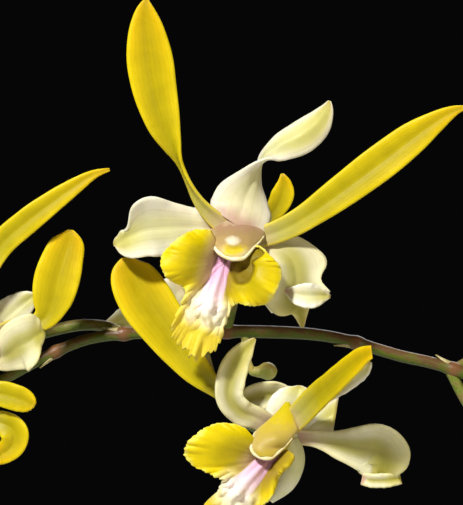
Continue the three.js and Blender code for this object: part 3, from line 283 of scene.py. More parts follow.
# Bloom E grows behind the stem and faces away, so its rows are seen from the back.
BLOOM_E = {
    "centre": [-8, 16, -6],
    "back": True,
    "petals": [
        {"rows": [
            [1.4, -0.6, 1, 1.5], [8, -1, 5.4, 1.4], [13, -1.4, 10.6, 1.6], [17.1, -1.8, 15, 2.1],
            [18.6, -2.2, 18, 2.4], [18.9, -2.4, 20.4, 1.6, 0, 0], [18.5, -2.4, 22.4, 0.3, 0, 0],
        ]},
        {"rows": [
            [-1.4, -0.6, 1.2, 1.5], [-3, 5, 3, 1.3], [-4, 12, 5, 1.6], [-4.6, 20, 7, 3], [-5, 29, 9, 4.2],
            [-5, 37, 10.6, 3, 0, 0], [-5, 42, 11, 0.4, 0, 0],
        ], "face": [0, 0, 1]},
    ],
    "sepals": [
        {"rows": [
            [0.4, -2.8, 0.6, 3.6], [1, -3, 5.6, 4.6], [1, -1, 10, 3.8], [1, 3, 13.6, 2.4, 0, 0],
            [1, 7, 15.6, 0.4, 0, 0],
        ]},
        {"rows": [
            [-1.2, -2.8, -0.4, 3, 0, -0.1], [-3.6, -4.4, -2.6, 4, 0, -0.2], [-6.6, -5.6, -5, 4.6, 0, -0.25],
            [-10.6, -6, -7.4, 4.4, 0, -0.25], [-15.4, -5.4, -9, 2.8, 0, -0.2], [-19, -4.6, -9.6, 0.5, 0, 0],
        ]},
        {"rows": [
            [0.6, -2.8, -0.6, 2.8], [0, -1, -3, 3.4], [-1, 4, -5.4, 4], [-2, 9, -7, 3, 0, 0],
            [-2, 13, -8, 0.4, 0, 0],
        ], "face": [0, 0, 1]},
    ],
    "lip_nod": 70,
    "throat": [4, -2],
}


def mirrored(rows):
    """A blade's rows on the other side of the bloom: x and roll change sign."""
    return [[-x, y, z, half, -roll, cup] for x, y, z, half, roll, cup in rows]


# The form of the blooms that the photograph doesn't show.
OPEN_FORM = {
    "petals": [{"rows": PETAL}, {"rows": mirrored(PETAL)}],
    "sepals": [
        {"rows": DORSAL_SEPAL},
        {"rows": LATERAL_SEPAL, "wave": SEPAL_WAVE},
        {"rows": mirrored(LATERAL_SEPAL), "wave": SEPAL_WAVE},
    ],
}
# Every bloom: name, form, column centre from the spray, compass turn, nod, tilt, size.
BLOOMS = [
    *((letter, form, form["centre"], 0, 0, 0, 1)
      for letter, form in zip("abcde", (BLOOM_A, BLOOM_B, BLOOM_C, BLOOM_D, BLOOM_E))),
    ("f", OPEN_FORM, [92, 2, -9], 18, -6, 24, 0.98),
    ("g", OPEN_FORM, [84, -14, -58], -14, 10, 58, 1),
    ("i", OPEN_FORM, [146, 88, -66], 150, 0, -20, 0.98),
    ("j", OPEN_FORM, [186, 70, -40], 70, 2, 8, 1),
    ("k", OPEN_FORM, [216, 108, -62], 118, 8, 6, 0.94),
]

# ---------------------------------------------------------------- stems and canes, mm
# Flower stems, stalks, buds and the knob are given from the spray's middle.
# Flower stems: [x, y, z, radius] from the cane to the tip.
STEMS = {
    "main": [
        [146, 1, -166.6, 2.3], [146, 0, -130, 2.2], [134, 0, -92, 2.1], [112, 0, -60, 1.9], [82, 0, -38, 1.6],
        [47.4, 0, -24.6, 1.25], [34, 0, -21, 1.2], [20.1, 0, -17.2, 1.2], [5.8, 0, -16.2, 1.3],
        [-12.3, 0, -16.3, 1.2], [-26.3, 0, -17.1, 1.15], [-35.1, 0, -19.9, 1.1], [-47.4, 0, -26.3, 1.1],
        [-68, 1, -37, 1], [-90, 2, -54, 0.9], [-108, 3, -76, 0.8], [-118, 3, -100, 0.7],
    ],
    "back": [
        [64, 49, -218.6, 2.2], [70, 50, -170, 2.1], [88, 56, -124, 1.9], [116, 66, -92, 1.7], [150, 76, -78, 1.5],
        [184, 84, -80, 1.3], [214, 90, -98, 1.1], [234, 94, -124, 0.9], [244, 96, -150, 0.7],
    ],
}
STEM_RINGS = {"main": 360, "back": 200}
# The joints of each stem by their x: a ring, a scale leaf and often a stalk.
JOINTS = {
    "main": [145, 128, 104, 74, 45.4, 25.6, -1, -12, -22, -36, -54, -72, -84, -96, -107],
    "back": [67, 78, 98, 122, 160, 200, 222, 232, 239],
}
# Stalks: x where it leaves the stem, bloom, points on the way.
STALKS = {
    "main": [
        (-1, "a", [[0.6, -5, -8]]),
        (-6.4, "b", [[-4, -2, -26], [1, -6, -33]]),
        (-22, "c", [[-25.5, 2.4, -15.2], [-31, 3, -14.9], [-38.4, 2, -16.4]]),
        (-54, "d", [[-57, -6, -33]]),
        (-12, "e", [[-8, 4, -12]]),
        (45.4, "f", [[56, 6, -19], [74, 11, -14]]),
        (44.4, "g", [[50.4, 1, -34], [64, 3, -50]]),
    ],
    "back": [(122, "i", [[132, 76, -76]]), (160, "j", [[170, 82, -60]]), (200, "k", [[206, 92, -76]])],
}
# The swollen end of a stalk whose bloom has dropped.
KNOB = [
    [2.7, 0, -16.4, 0.8], [3, 1, -21, 0.8], [4, 1, -24, 0.85], [5, 1, -24.4, 1.05], [5.9, 1, -24.4, 1.3],
    [6.9, 1, -24.3, 1.8], [8, 1, -24.3, 1.75], [8.9, 1, -24.3, 1.15], [9.3, 1, -24.3, 0.4],
]
# Buds: x where the stalk leaves the stem, direction, stalk length, bud length.
BUDS = {
    "main": [
        (-72, [-0.3, -0.9, 0.5], 12, 13), (-84, [-0.4, 0.7, 0.6], 11, 11),
        (-96, [-0.6, -0.7, 0.3], 9, 9.5), (-107, [-0.5, 0.7, 0.1], 7, 8),
    ],
    "back": [(222, [0.5, -0.7, 0.5], 11, 12), (232, [0.5, 0.8, 0.3], 9, 9), (239, [0.6, -0.6, 0], 7, 8)],
}
# Canes, from the pot's foot: base on the bark, top, thickest radius, and leaves as
# [share along, compass side, length, droop].
CANES = {
    "main": ([22, -8], [66, -14, 378], 6.6,
             [[0.5, 200, 92, 0.5], [0.6, 20, 98, 0.45], [0.7, 205, 88, 0.4],
              [0.79, 15, 92, 0.35], [0.88, 212, 74, 0.2]]),
    "back": ([-8, 22], [-16, 34, 326], 6.2,
             [[0.48, 120, 90, 0.5], [0.58, 300, 88, 0.5], [0.68, 125, 96, 0.4],
              [0.78, 305, 78, 0.4], [0.9, 130, 80, 0.2]]),
    "left": ([-26, -6], [-84, -26, 300], 5.8,
             [[0.4, 190, 84, 0.5], [0.52, 10, 80, 0.4], [0.64, 185, 96, 0.4],
              [0.76, 5, 78, 0.3], [0.92, 190, 86, 0.15]]),
    "front": ([4, -28], [16, -84, 262], 5.4,
              [[0.4, 270, 84, 0.5], [0.53, 75, 50, 0.2], [0.66, 265, 92, 0.4],
               [0.79, 78, 48, 0.2], [0.93, 268, 80, 0.15]]),
    "young": ([30, 18], [72, 52, 216], 4.8,
              [[0.36, 40, 76, 0.5], [0.5, 215, 50, 0.2], [0.66, 38, 88, 0.35],
               [0.82, 225, 54, 0.2], [0.95, 45, 78, 0.1]]),
}
CANE_FOOT = 52  # the height at which the canes start, inside the bark
CANE_JOINTS = 9
LEAF_SHAPE = [(0, 4.5), (0.12, 8), (0.3, 12.5), (0.5, 14), (0.7, 12), (0.88, 6.5), (1, 0.8)]  # share along, half width
LEAF_LENGTH = 96  # the length at which those half widths hold

# ---------------------------------------------------------------- pot, bark and studio
# Turned bodies: [radius, height] from the axis round to the axis, mm.
POT_PROFILE = [
    [0, 1.2], [30, 1.2], [38, 0.8], [41, 0], [44, 0], [45.4, 0.6], [46.2, 2.4], [49.6, 30], [53, 60], [56.6, 88],
    [57.9, 93.4], [59.5, 94], [64, 94.2], [65.6, 95.2], [66, 97], [65.9, 105], [66, 114], [65.6, 116.6],
    [64.2, 118], [62.4, 118], [61.2, 117], [60.4, 113], [58, 104], [53, 90], [48.6, 60], [44, 30], [40.8, 10],
    [39, 7.4], [36, 7], [0, 7],
]
DRAIN_OUT, DRAIN_RADIUS = 24, 5  # the drain holes' distance from the axis and their radius
BARK_PROFILE = [[0, 7.6], [38.8, 7.6], [52.4, 89.6], [57, 100.5], [50, 102.6], [25, 103.4], [0, 103.6]]
FLOOR_PROFILE = [[0, -20], [3900, -20], [4000, -15], [3990, -0.4], [3000, -0.4], [0, -0.4]]
GOLDEN_ANGLE = 2.39996  # radians, from one bark chip to the next
# Square lamps: name, place and target in m, side in m, power in W, colour.
LAMPS = [
    ("key_lamp", (-0.72, -1.2, 1.62), (-0.05, 0, 0.46), 0.17, 43.0, "FFFDF4"),
    ("fill_lamp", (1.3, -1.5, 0.75), (-0.02, 0, 0.35), 1.1, 11.0, "FFF2D8"),
    ("back_lamp", (0.35, 1.5, 1.5), (0, 0, 0.35), 0.9, 9.0, "FFFFFF"),
]
SENSOR = 36  # its longer side, mm
SPRAY_AWAY, FACES_AWAY = 900, 880  # the spray's middle and the blooms' faces from the camera, mm
VIEW_TALL = 101  # what the picture shows from top to bottom at those faces, mm


# ---------------------------------------------------------------- surfaces, mm
def along(rows, t):
    """A smooth curve through rows of numbers: a uniform Catmull-Rom spline in every column, t from 0 to 1."""
    rows = np.asarray(rows, float)
    last = len(rows) - 1
    place = np.clip(t, 0, 1) * last
    i = np.minimum(place.astype(int), last - 1)
    f = (place - i)[..., None]
    p, q, r, s = (rows[np.clip(i + k, 0, last)] for k in (-1, 0, 1, 2))
    return q + 0.5 * f * (r - p + f * (2 * p - 5 * q + 4 * r - s + f * (3 * (q - r) + s - p)))


def unit(v):
    """Vectors brought to length 1."""
    return v / np.maximum(np.linalg.norm(v, axis=-1, keepdims=True), 1e-9)


def heading(rows, t):
    """The direction in which a curve through rows runs."""
    return unit(along(rows, t + 0.01)[..., :3] - along(rows, t - 0.01)[..., :3])


def cells(nu, nv):
    """Two parameters from 0 to 1 on a grid of nu by nv cells."""
    return np.meshgrid(np.linspace(0, 1, nu + 1), np.linspace(0, 1, nv + 1), indexing="ij")


def rise_between(low, high, x):
    """0 below low, 1 above high, and a smooth step between them."""
    t = np.clip((x - low) / (high - low), 0, 1)
    return t * t * (3 - 2 * t)


def bell(x, width, power=2):
    """1 at nought, falling off on both sides: e to the minus (x over width) to the power."""
    return np.exp(-((x / width) ** power))


def turned(axis, degrees):
    """The matrix that turns by so many degrees about axis 0, 1 or 2."""
    c, s = math.cos(math.radians(degrees)), math.sin(math.radians(degrees))
    i, j = [(1, 2), (2, 0), (0, 1)][axis]
    m = np.eye(3)
    m[i, i], m[i, j], m[j, i], m[j, j] = c, -s, s, c
    return m


def patch(points, faces, grain, finish=0, mark=0):
    """One closed surface: points, arrays of faces, three numbers and a mark a point, and its finish's number."""
    points = points.reshape(-1, 3)
    mark = np.broadcast_to(mark, len(points))
    return {"points": points, "faces": faces, "grain": grain.reshape(-1, 3), "mark": mark, "finish": finish}


def moved(surface, matrix, place):
    """The surface turned by a matrix and then carried to its place."""
    return {**surface, "points": surface["points"] @ matrix.T + np.asarray(place, float)}


def ring_faces(rings, sides):
    """The faces of a round skin over rings of points, and the two fans that close its ends.

    The fans' tips are the two points that follow the rings.
    """
    ids = np.arange(rings * sides).reshape(rings, sides)
    beside = np.roll(ids, -1, axis=1)
    skin = np.stack([ids[:-1], beside[:-1], beside[1:], ids[1:]], -1).reshape(-1, 4)
    foot = np.stack([beside[0], ids[0], np.full(sides, ids.size)], -1)
    crown = np.stack([ids[-1], beside[-1], np.full(sides, ids.size + 1)], -1)
    return skin, foot, crown


def shell(points, thickness, grain, finish=0, rim=0.35, mark=None):
    """A thin closed shell about a grid of points.

    Each face stands off by half the thickness along the surface's normal, which is the cross product
    of the two grid directions. Towards the three free edges the half thickness falls to the rim share.
    """
    nu, nv = points.shape[0] - 1, points.shape[1] - 1
    u, v = cells(nu, nv)
    thin = np.maximum((2 * v - 1) ** 8, rise_between(0.9, 1, u))
    half = (thickness / 2 * (1 - (1 - rim) * thin))[..., None]
    normal = unit(np.cross(np.gradient(points, axis=0), np.gradient(points, axis=1)))
    both = np.concatenate([(points + normal * half).reshape(-1, 3), (points - normal * half).reshape(-1, 3)])
    count = (nu + 1) * (nv + 1)
    ids = np.arange(count).reshape(nu + 1, nv + 1)
    front = np.stack([ids[:-1, :-1], ids[1:, :-1], ids[1:, 1:], ids[:-1, 1:]], -1).reshape(-1, 4)
    rim_ids = np.concatenate([ids[:-1, 0], ids[-1, :-1], ids[:0:-1, -1], ids[0, :0:-1]])
    following = np.roll(rim_ids, -1)
    edge = np.stack([rim_ids, rim_ids + count, following + count, following], -1)
    grain = grain.reshape(-1, 3)
    mark = 0 if mark is None else np.concatenate([mark.ravel(), mark.ravel()])
    return patch(both, [front, front[:, ::-1] + count, edge], np.concatenate([grain, grain]), finish, mark)


def blade_surface(blade, nu, nv, thickness, finish=0, groove=0.0, flutter=0.0):
    """A petal, sepal or leaf.

    The middle line is a spline through the rows. Across it, at s from -1 to 1, a point lies s times the
    half width to the side, cup times s squared times the half width towards the face, and slant times s
    along the line. Roll turns the blade about its line. A notch narrows one side by a bell round its place
    (or widens it, where its depth is below zero). A wave lifts the margins by height times s squared times
    the sine of the length, groove sinks the midrib, and flutter adds short waves at the very margin.
    The grain holds s, u and the half width.
    """
    rows = np.array([[*row, *PLAIN_ROW_END[len(row) - 4 :]] for row in blade["rows"]], float)
    u, v = cells(nu, nv)
    u = u + 0.05 * np.sin(math.pi * u) * u  # closer rows towards the tip
    s = 2 * v - 1
    line = along(rows, u)
    run = heading(rows, u)
    face = unit(np.array(blade.get("face", [0, -1, 0]), float))
    front = unit(face - run * (run @ face)[..., None])
    side = np.cross(run, front)
    roll = np.radians(line[..., 4:5])
    normal = front * np.cos(roll) + side * np.sin(roll)
    across = side * np.cos(roll) - front * np.sin(roll)
    width = np.maximum(line[..., 3], 0.3)
    for edge, middle, spread, depth in blade.get("notches", []):
        width = width * (1 - depth * bell(u - middle, spread) * np.clip(edge * s, 0, 1))
    lift = width * line[..., 5] * s**2
    wave = blade.get("wave")
    if wave:
        turn = 6.283 * (wave["count"] * u + wave["start"]) + np.where(s > 0, wave["shift"], 0)
        lift = lift + wave["height"] * s**2 * np.sin(math.pi * u) * np.sin(turn)
    lift = lift - groove * bell(s * width, 0.7) * rise_between(0.02, 0.15, u) * (1 - rise_between(0.8, 1, u))
    lift = lift + flutter * s**4 * np.sin(math.pi * u) * np.sin(31 * u + 2.1 * s) * np.sin(13 * u + 1)
    points = line[..., :3] + across * (width * s)[..., None]
    points = points + normal * lift[..., None] + run * (width * line[..., 6] * s)[..., None]
    return shell(points, thickness, np.stack([s, u, width], -1), blade.get("finish", finish))


def tube_surface(rows, rings, sides, finish=0, joints=(), swell=0.0, flat=1.0):
    """A round body carried along rows [x, y, z, radius], with both ends closed by a point.

    The radius grows by the swell at each joint, a share from 0 to 1, as a bell 1.3 mm wide. The grain
    holds how far the skin faces up, the length from the start in mm and the nearness to a joint.
    """
    rows = np.asarray(rows, float)
    t = np.linspace(0, 1, rings + 1)
    line, run = along(rows, t), heading(rows, t)
    lengths = np.concatenate([[0], np.cumsum(np.linalg.norm(np.diff(line[:, :3], axis=0), axis=1))])
    near = np.zeros_like(t)
    for joint in joints:
        near = np.maximum(near, bell(lengths - np.interp(joint, t, lengths), 1.3))
    radius = line[:, 3] * (1 + swell * near)
    reference = np.eye(3)[np.argmin(np.abs(run).max(axis=0))]
    side = unit(reference - run * (run @ reference)[:, None])
    other = np.cross(run, side)
    angle = np.linspace(0, 2 * math.pi, sides, endpoint=False)
    spoke = side[:, None] * np.cos(angle)[:, None] + other[:, None] * flat * np.sin(angle)[:, None]
    points = line[:, None, :3] + spoke * radius[:, None, None]
    grain = np.stack(np.broadcast_arrays(spoke[..., 2], lengths[:, None], near[:, None]), -1)
    tips = line[[0, -1], :3] + run[[0, -1]] * (radius[[0, -1]] * [-0.25, 0.25])[:, None]
    points = np.concatenate([points.reshape(-1, 3), tips])
    grain = np.concatenate([grain.reshape(-1, 3), grain[[0, -1], 0]])
    return patch(points, ring_faces(rings + 1, sides), grain, finish)


def lip_surface(form, nu, nv, frill, keels):
    """The lip, a fan round the throat.

    At a direction from the midline and a share rho of the way to the edge, the point lies rho times the
    reach away. The side lobes rise towards the viewer as walls, by the sine of twice rho, and the middle
    lobe by the sine of one and a half rho. A ridge with three keels runs from the throat down the middle
    lobe and breaks up into ruffles and froth, products of sines across and down. Pleats fan out to that
    lobe's edge, products of sines frill and tooth the margin, and a hollow sinks one side lobe. The grain
    holds the way across and down from the throat in mm, and rho; the mark is 1 on the ridge and -1 in
    the hollow.
    """
    u, v = cells(nu, nv)
    degrees, reach, rise = np.moveaxis(along(form.get("lip_edge", LIP_EDGE), u), -1, 0)
    rho = 0.01 + 0.99 * v**0.85
    angle, aside = np.radians(degrees), np.abs(degrees)
    middle = 1 - rise_between(20, 42, aside)
    teeth = np.sin(degrees * 1.6 + 2.2 * np.sin(degrees * 0.37)) * np.sin(degrees * 0.61 + 1) * (0.3 + 0.7 * middle)
    reach = reach * (1 + 0.045 * frill * rho**7 * teeth)
    x, down = -reach * rho * np.sin(angle), reach * rho * np.cos(angle)
    off = x - form.get("crest_offset", 0) * (1 - down / 9)

    ruffle = 0.8 * rho**4 * np.sin(degrees / 5.6)
    pleats = np.sin(degrees / 4.4 + 1.3 * np.sin(4 * rho) + 1.4 * np.sin(degrees * 0.13))
    pleats = 0.85 * middle * rho**2 * pleats * rise_between(0.5, 0.85, rho)
    margin = np.sin(degrees * 0.61 + 2.4 * np.sin(degrees * 0.23)) * (0.35 + 0.65 * middle)
    margin = frill * 0.6 * rise_between(0.7, 1, rho) * margin
    wall = np.minimum(1, aside / 60)
    lift = rise * (np.sin(2 * rho) * wall * (1 - bell(off, 2.2, 4)) + np.sin(1.5 * rho) * (1 - wall))

    broad = 1.45 + 0.13 * np.clip(down, 0, 9)
    forward = 1 - rise_between(50, 75, aside) * rise_between(0.2, 0.4, rho)
    ridge = bell(off, broad, 4) * rise_between(-3.4, -1, down) * (1 - rise_between(9.5, 13, down)) * forward
    keel = 0.5 + 0.5 * np.cos(2 * math.pi * off / (broad * 0.86))
    curls = rise_between(7, 9.5, down) * (1 - rise_between(12.5, 16, down)) * bell(off, broad * 1.9, 4)
    frills = (0.5 + 0.5 * np.sin(2 * off + 1.2 * np.sin(0.8 * down + 0.5 * off))) ** 1.5
    froth = 0.5 + 0.5 * np.sin(2.3 * down - 1.5 * np.sin(1.6 * off))
    froth = froth * (0.5 + 0.5 * np.sin(3 * off + 1.4 * np.sin(1.3 * down)))
    crest = keels * (ridge * (1 + 0.2 * keel) + curls * (0.75 * frills + 0.7 * froth))

    first, last, depth = form.get("hollow", [0, 0, 0])
    brink = 0.5 + 0.42 * rise_between(106, 124, -degrees)  # the hollow reaches the very margin behind the lobe
    pocket = rise_between(first - 14, first + 6, degrees) * (1 - rise_between(last - 8, last + 14, degrees))
    pocket = pocket * rise_between(0.1, 0.34, rho) * (1 - rise_between(brink, brink + 0.08, rho)) * min(1, depth)
    points = np.stack([x, ruffle + pleats + margin - lift - crest + depth * pocket, -down], -1)
    # The hollow's share of the mark is painted in shade by the lip's tissue.
    return shell(points, 0.7, np.stack([off, down, rho], -1), rim=0.5, mark=ridge - pocket)


def hood_points(rows, u, s):
    """Points of a column's hood at u down it and s across it, from -1 to 1.

    Across a row the hood comes back from its middle by the share |s| to the power 2.2. It swells by a
    bell over the anther and dips by a wider bell beneath.
    """
    z, left, right, middle, sides = np.moveaxis(along(rows, u), -1, 0)
    x = (left + right) / 2 + (right - left) / 2 * s
    swell = bell(x + 1.4, 1.3) * bell(z + 0.6, 0.9)
    dip = bell(x + 1, 2) * bell(z + 2.5, 0.8)
    y = middle + (sides - middle) * np.abs(s) ** 2.2 - 0.5 * swell + 0.7 * dip
    return np.stack([x, y, z], -1)


def column_surfaces(rows, across, up):
    """The column: a broad hood that slopes forward from the sepals, edged below by a bead in a U.

    Under it the column's foot runs down to the lip's throat, which stands at the given place. The grain
    holds the place across and up in mm and the share down the hood; the mark is the nearness to its sides.
    """
    u, v = cells(48, 44)
    s = 2 * v - 1
    points = hood_points(rows, u, s)
    hood = shell(points, 0.9, np.stack([points[..., 0], points[..., 2], u], -1), rim=0.2, mark=np.abs(s) ** 2)
    foot = tube_surface([[0, 1.8, 0.4, 2.6], [across * 0.5, 1.2, up * 0.5, 2.4], [across, 0.6, up + 0.3, 1.7]], 20, 24)
    foot["grain"] = np.broadcast_to([9, 9, 0.42], foot["points"].shape)  # one even tone, clear of the hood's patches
    left = hood_points(rows, np.linspace(0.42, 0.96, 12), -1)
    below = hood_points(rows, np.full(7, 1.0), np.linspace(-0.7, 0.7, 7))
    right = hood_points(rows, np.linspace(0.96, 0.55, 9), 1)
    line = np.concatenate([left, below, right]) - [0, 0.2, 0]
    thick = 0.45 * np.sin(np.linspace(0.35, math.pi - 0.35, len(line)))
    return [hood, foot, tube_surface(np.column_stack([line, thick]), 90, 14, finish=1)]


def turned_surface(profile, sides, wobble=0.0):
    """A body turned on a wheel: the profile [radius, height], which starts and ends on the axis, carried round it.

    The radius wavers by the wobble times the sines of twice and three times the compass angle.
    """
    profile = np.asarray(profile, float)
    angle = np.linspace(0, 2 * math.pi, sides, endpoint=False)
    waver = 1 + wobble * (np.sin(2 * angle + 0.7) + 0.6 * np.sin(3 * angle + 2))
    radius, height = profile[1:-1, 0, None] * waver, profile[1:-1, 1, None]
    rings = np.stack(np.broadcast_arrays(radius * np.cos(angle), radius * np.sin(angle), height), -1)
    poles = [[0, 0, profile[0, 1]], [0, 0, profile[-1, 1]]]
    points = np.concatenate([rings.reshape(-1, 3), poles])
    return patch(points, ring_faces(*rings.shape[:2]), points)


def chip_surface(count, sizes, radius, height, seed):
    """Bark chips strewn over a disc.

    Each chip is a sphere squared off by raising its sines and cosines to a power below one, stretched to
    its own size, bent by a slow wave, turned at random and laid on a sunflower spiral. The grain holds
    the place inside the chip and its own tint.
    """
    draw = np.random.default_rng(seed)
    rings, sides = 6, 10
    t = np.linspace(-math.pi / 2, math.pi / 2, rings + 2)[1:-1, None]
    a = np.linspace(0, 2 * math.pi, sides, endpoint=False)[None]

    def squared(w):
        return np.sign(w) * np.abs(w) ** 0.45

    flat = squared(np.cos(t))
    ring = np.stack(np.broadcast_arrays(flat * squared(np.cos(a)), flat * squared(np.sin(a)), squared(np.sin(t))), -1)
    base = np.concatenate([ring.reshape(-1, 3), [[0, 0, -1], [0, 0, 1]]])
    size = sizes * (0.65 + 0.7 * draw.random((count, 1, 3))) / 2
    lumps = 1 + 0.16 * np.sin(3.1 * base[None] + 6.28 * draw.random((count, 1, 3)))
    chip = base[None] * size * lumps[..., [1, 2, 0]]
    chip[..., 2] += 0.09 * chip[..., 0] * np.sin(chip[..., 0] / 4 + 6.28 * draw.random((count, 1)))
    turn = 6.28 * draw.random((count, 1))
    tip = 0.9 * (draw.random((count, 1)) - 0.5)
    lean = 0.8 * (draw.random((count, 1)) - 0.5)
    x, y, z = np.moveaxis(chip, -1, 0)
    y, z = y * np.cos(tip) - z * np.sin(tip), y * np.sin(tip) + z * np.cos(tip)
    x, z = x * np.cos(lean) + z * np.sin(lean), z * np.cos(lean) - x * np.sin(lean)
    x, y = x * np.cos(turn) - y * np.sin(turn), x * np.sin(turn) + y * np.cos(turn)
    k = np.arange(count)[:, None]
    out, way = radius * np.sqrt((k + 0.5) / count), GOLDEN_ANGLE * k
    z = z + height + 2.6 * draw.random((count, 1))
    points = np.stack([x + out * np.cos(way), y + out * np.sin(way), z], -1)
    steps = (np.arange(count) * len(base))[:, None, None]
    faces = [(part + steps).reshape(-1, part.shape[1]) for part in ring_faces(rings, sides)]
    tint = np.broadcast_to(draw.random((count, 1, 1)), chip.shape[:2] + (1,))
    inside = np.broadcast_to(base[None, :, :2], chip.shape[:2] + (2,))
    return patch(points, faces, np.concatenate([inside, tint], -1))


# ---------------------------------------------------------------- pieces
def piece(name, nodes, patches, finishes):
    """One piece from its patches: millimetres become metres, and it stands for the named nodes of the frame."""
    faces, numbers, start = [], [], 0
    for part in patches:
        for ids in part["faces"]:
            faces += (ids + start).tolist()
            numbers += [part["finish"]] * len(ids)
        start += len(part["points"])
    points, grain, mark = (np.concatenate([part[key] for part in patches]) for key in ("points", "grain", "mark"))
    mesh = bpy.data.meshes.new(name)
    mesh.from_pydata((points * MM).tolist(), [], faces)
    for key, kind, field, values in (("grain", "FLOAT_VECTOR", "vector", grain), ("mark", "FLOAT", "value", mark)):
        data = mesh.attributes.new(key, kind, "POINT").data
        data.foreach_set(field, values.astype(np.float32).ravel())
    mesh.polygons.foreach_set("use_smooth", [True] * len(faces))
    for material in finishes:
        mesh.materials.append(material)
    mesh.polygons.foreach_set("material_index", numbers)
    mesh.update()
    made = bpy.data.objects.new(name, mesh)
    bpy.context.scene.collection.objects.link(made)
    if nodes:
        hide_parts(*nodes)
        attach(made, "root")
    return made


def bloom_piece(kind, bloom, parts, finishes):
    """One of a bloom's four pieces, carried to the bloom's place."""
    letter, _, matrix, place = bloom
    parts = [moved(part, matrix, place) for part in parts]
    piece(f"{kind}_{letter}", [f"bloom_{letter}_{kind}"], parts, finishes)


def bloom_places():
    """Each bloom's letter, form, turning matrix and place."""
    for letter, form, centre, yaw, nod, tilt, size in BLOOMS:
        yield letter, form, turned(2, yaw) @ turned(0, nod) @ turned(1, tilt) * size, SPRAY + centre


def facing(form):
    """1 for a bloom that faces the viewer and -1 for one that faces away."""
    return -1 if form.get("back") else 1


def front_of(form):
    """The matrix that turns a part to the side its bloom faces."""
    return np.diag([facing(form), facing(form), 1])


def ovary_end(letter):
    """Where the bloom's ovary meets its stalk."""
    for name, form, matrix, place in bloom_places():
        if name == letter:
            return matrix @ [0, facing(form) * 9.3, -1.4] + place  # just past the first row of OVARY
    raise RuntimeError(f"no bloom is called {letter}")


def throat_place(form):
    """Where the lip's throat stands from the column's centre, in a bloom that faces the viewer."""
    lean = math.radians(form.get("lip_turn", 0))
    across, up = form.get("throat", [-5 * math.sin(lean), -5 * math.cos(lean)])
    return [across, -1.2, up]


def share_at(rows, x):
    """The share along a stem at which it reaches the given x."""
    t = np.linspace(0, 1, 2001)
    return t[np.argmin(np.abs(along(rows, t)[:, 0] - x))]


# ---------------------------------------------------------------- finishes
# Light enters thin living tissue and glows through it.
LIVING = {"Subsurface Weight": 0.15, "Subsurface Radius": (1.0, 0.7, 0.2), "Subsurface Scale": 0.0012}
# The setting that holds the mode of each kind of node with modes.
NODE_MODES = {"Math": "operation", "MapRange": "interpolation_type", "Mix": "data_type"}


def tone(code):
    """An sRGB hex colour as linear red, green, blue and 1."""
    parts = (int(code[k : k + 2], 16) / 255 for k in (0, 2, 4))
    return tuple(c / 12.92 if c <= 0.04045 else ((c + 0.055) / 1.055) ** 2.4 for c in parts) + (1.0,)


def add(tree, kind, inputs=(), pick=0, stops=None, **settings):
    """Adds one node, sets it up, feeds its inputs by place or by name, and gives back one of its outputs.

    The kind may carry the node's mode after a space, as in Math POWER.
    """
    kind, _, mode = kind.partition(" ")
    node = tree.nodes.new("ShaderNode" + kind)
    if mode:
        settings[NODE_MODES[kind]] = mode
    for key, value in settings.items():
        setattr(node, key, value)
    if stops:
        elements = node.color_ramp.elements
        elements.remove(elements[1])
        elements[0].position, elements[0].color = stops[0][0], tone(stops[0][1])
        for position, code in stops[1:]:
            elements.new(position).color = tone(code)
    sockets = [s for s in node.inputs if s.enabled]
    for key, value in inputs.items() if isinstance(inputs, dict) else enumerate(inputs):
        socket = node.inputs[key] if isinstance(key, str) else sockets[key]
        if isinstance(value, bpy.types.NodeSocket):
            tree.links.new(value, socket)
        else:
            socket.default_value = value
    outputs = [s for s in node.outputs if s.enabled]
    return outputs if pick is None else outputs[pick]


def finish(name, sockets):
    """A new material with constants on its shader's own sockets, a way to add nodes to it and a way to close it.

    Closing feeds the colour, and the relief as a bump of so many mm, and gives back the material.
    """
    material = bpy.data.materials.new(name)
    material.use_nodes = True
    tree = material.node_tree
    shader = tree.nodes["Principled BSDF"]
    for key, value in sockets.items():
        shader.inputs[key].default_value = value
    put = partial(add, tree)

    def close(colour, strength=0, depth=0, relief=None):
        tree.links.new(colour, shader.inputs["Base Color"])
        if relief is not None:
            bump = put("Bump", {"Strength": strength, "Distance": depth * MM, "Height": relief})
            tree.links.new(bump, shader.inputs["Normal"])
        return material

    return put, close


def own_numbers(put):
    """The three numbers that the surface holds at each point as its grain."""
    return put("SeparateXYZ", [put("Attribute", pick=1, attribute_name="grain")], pick=None)


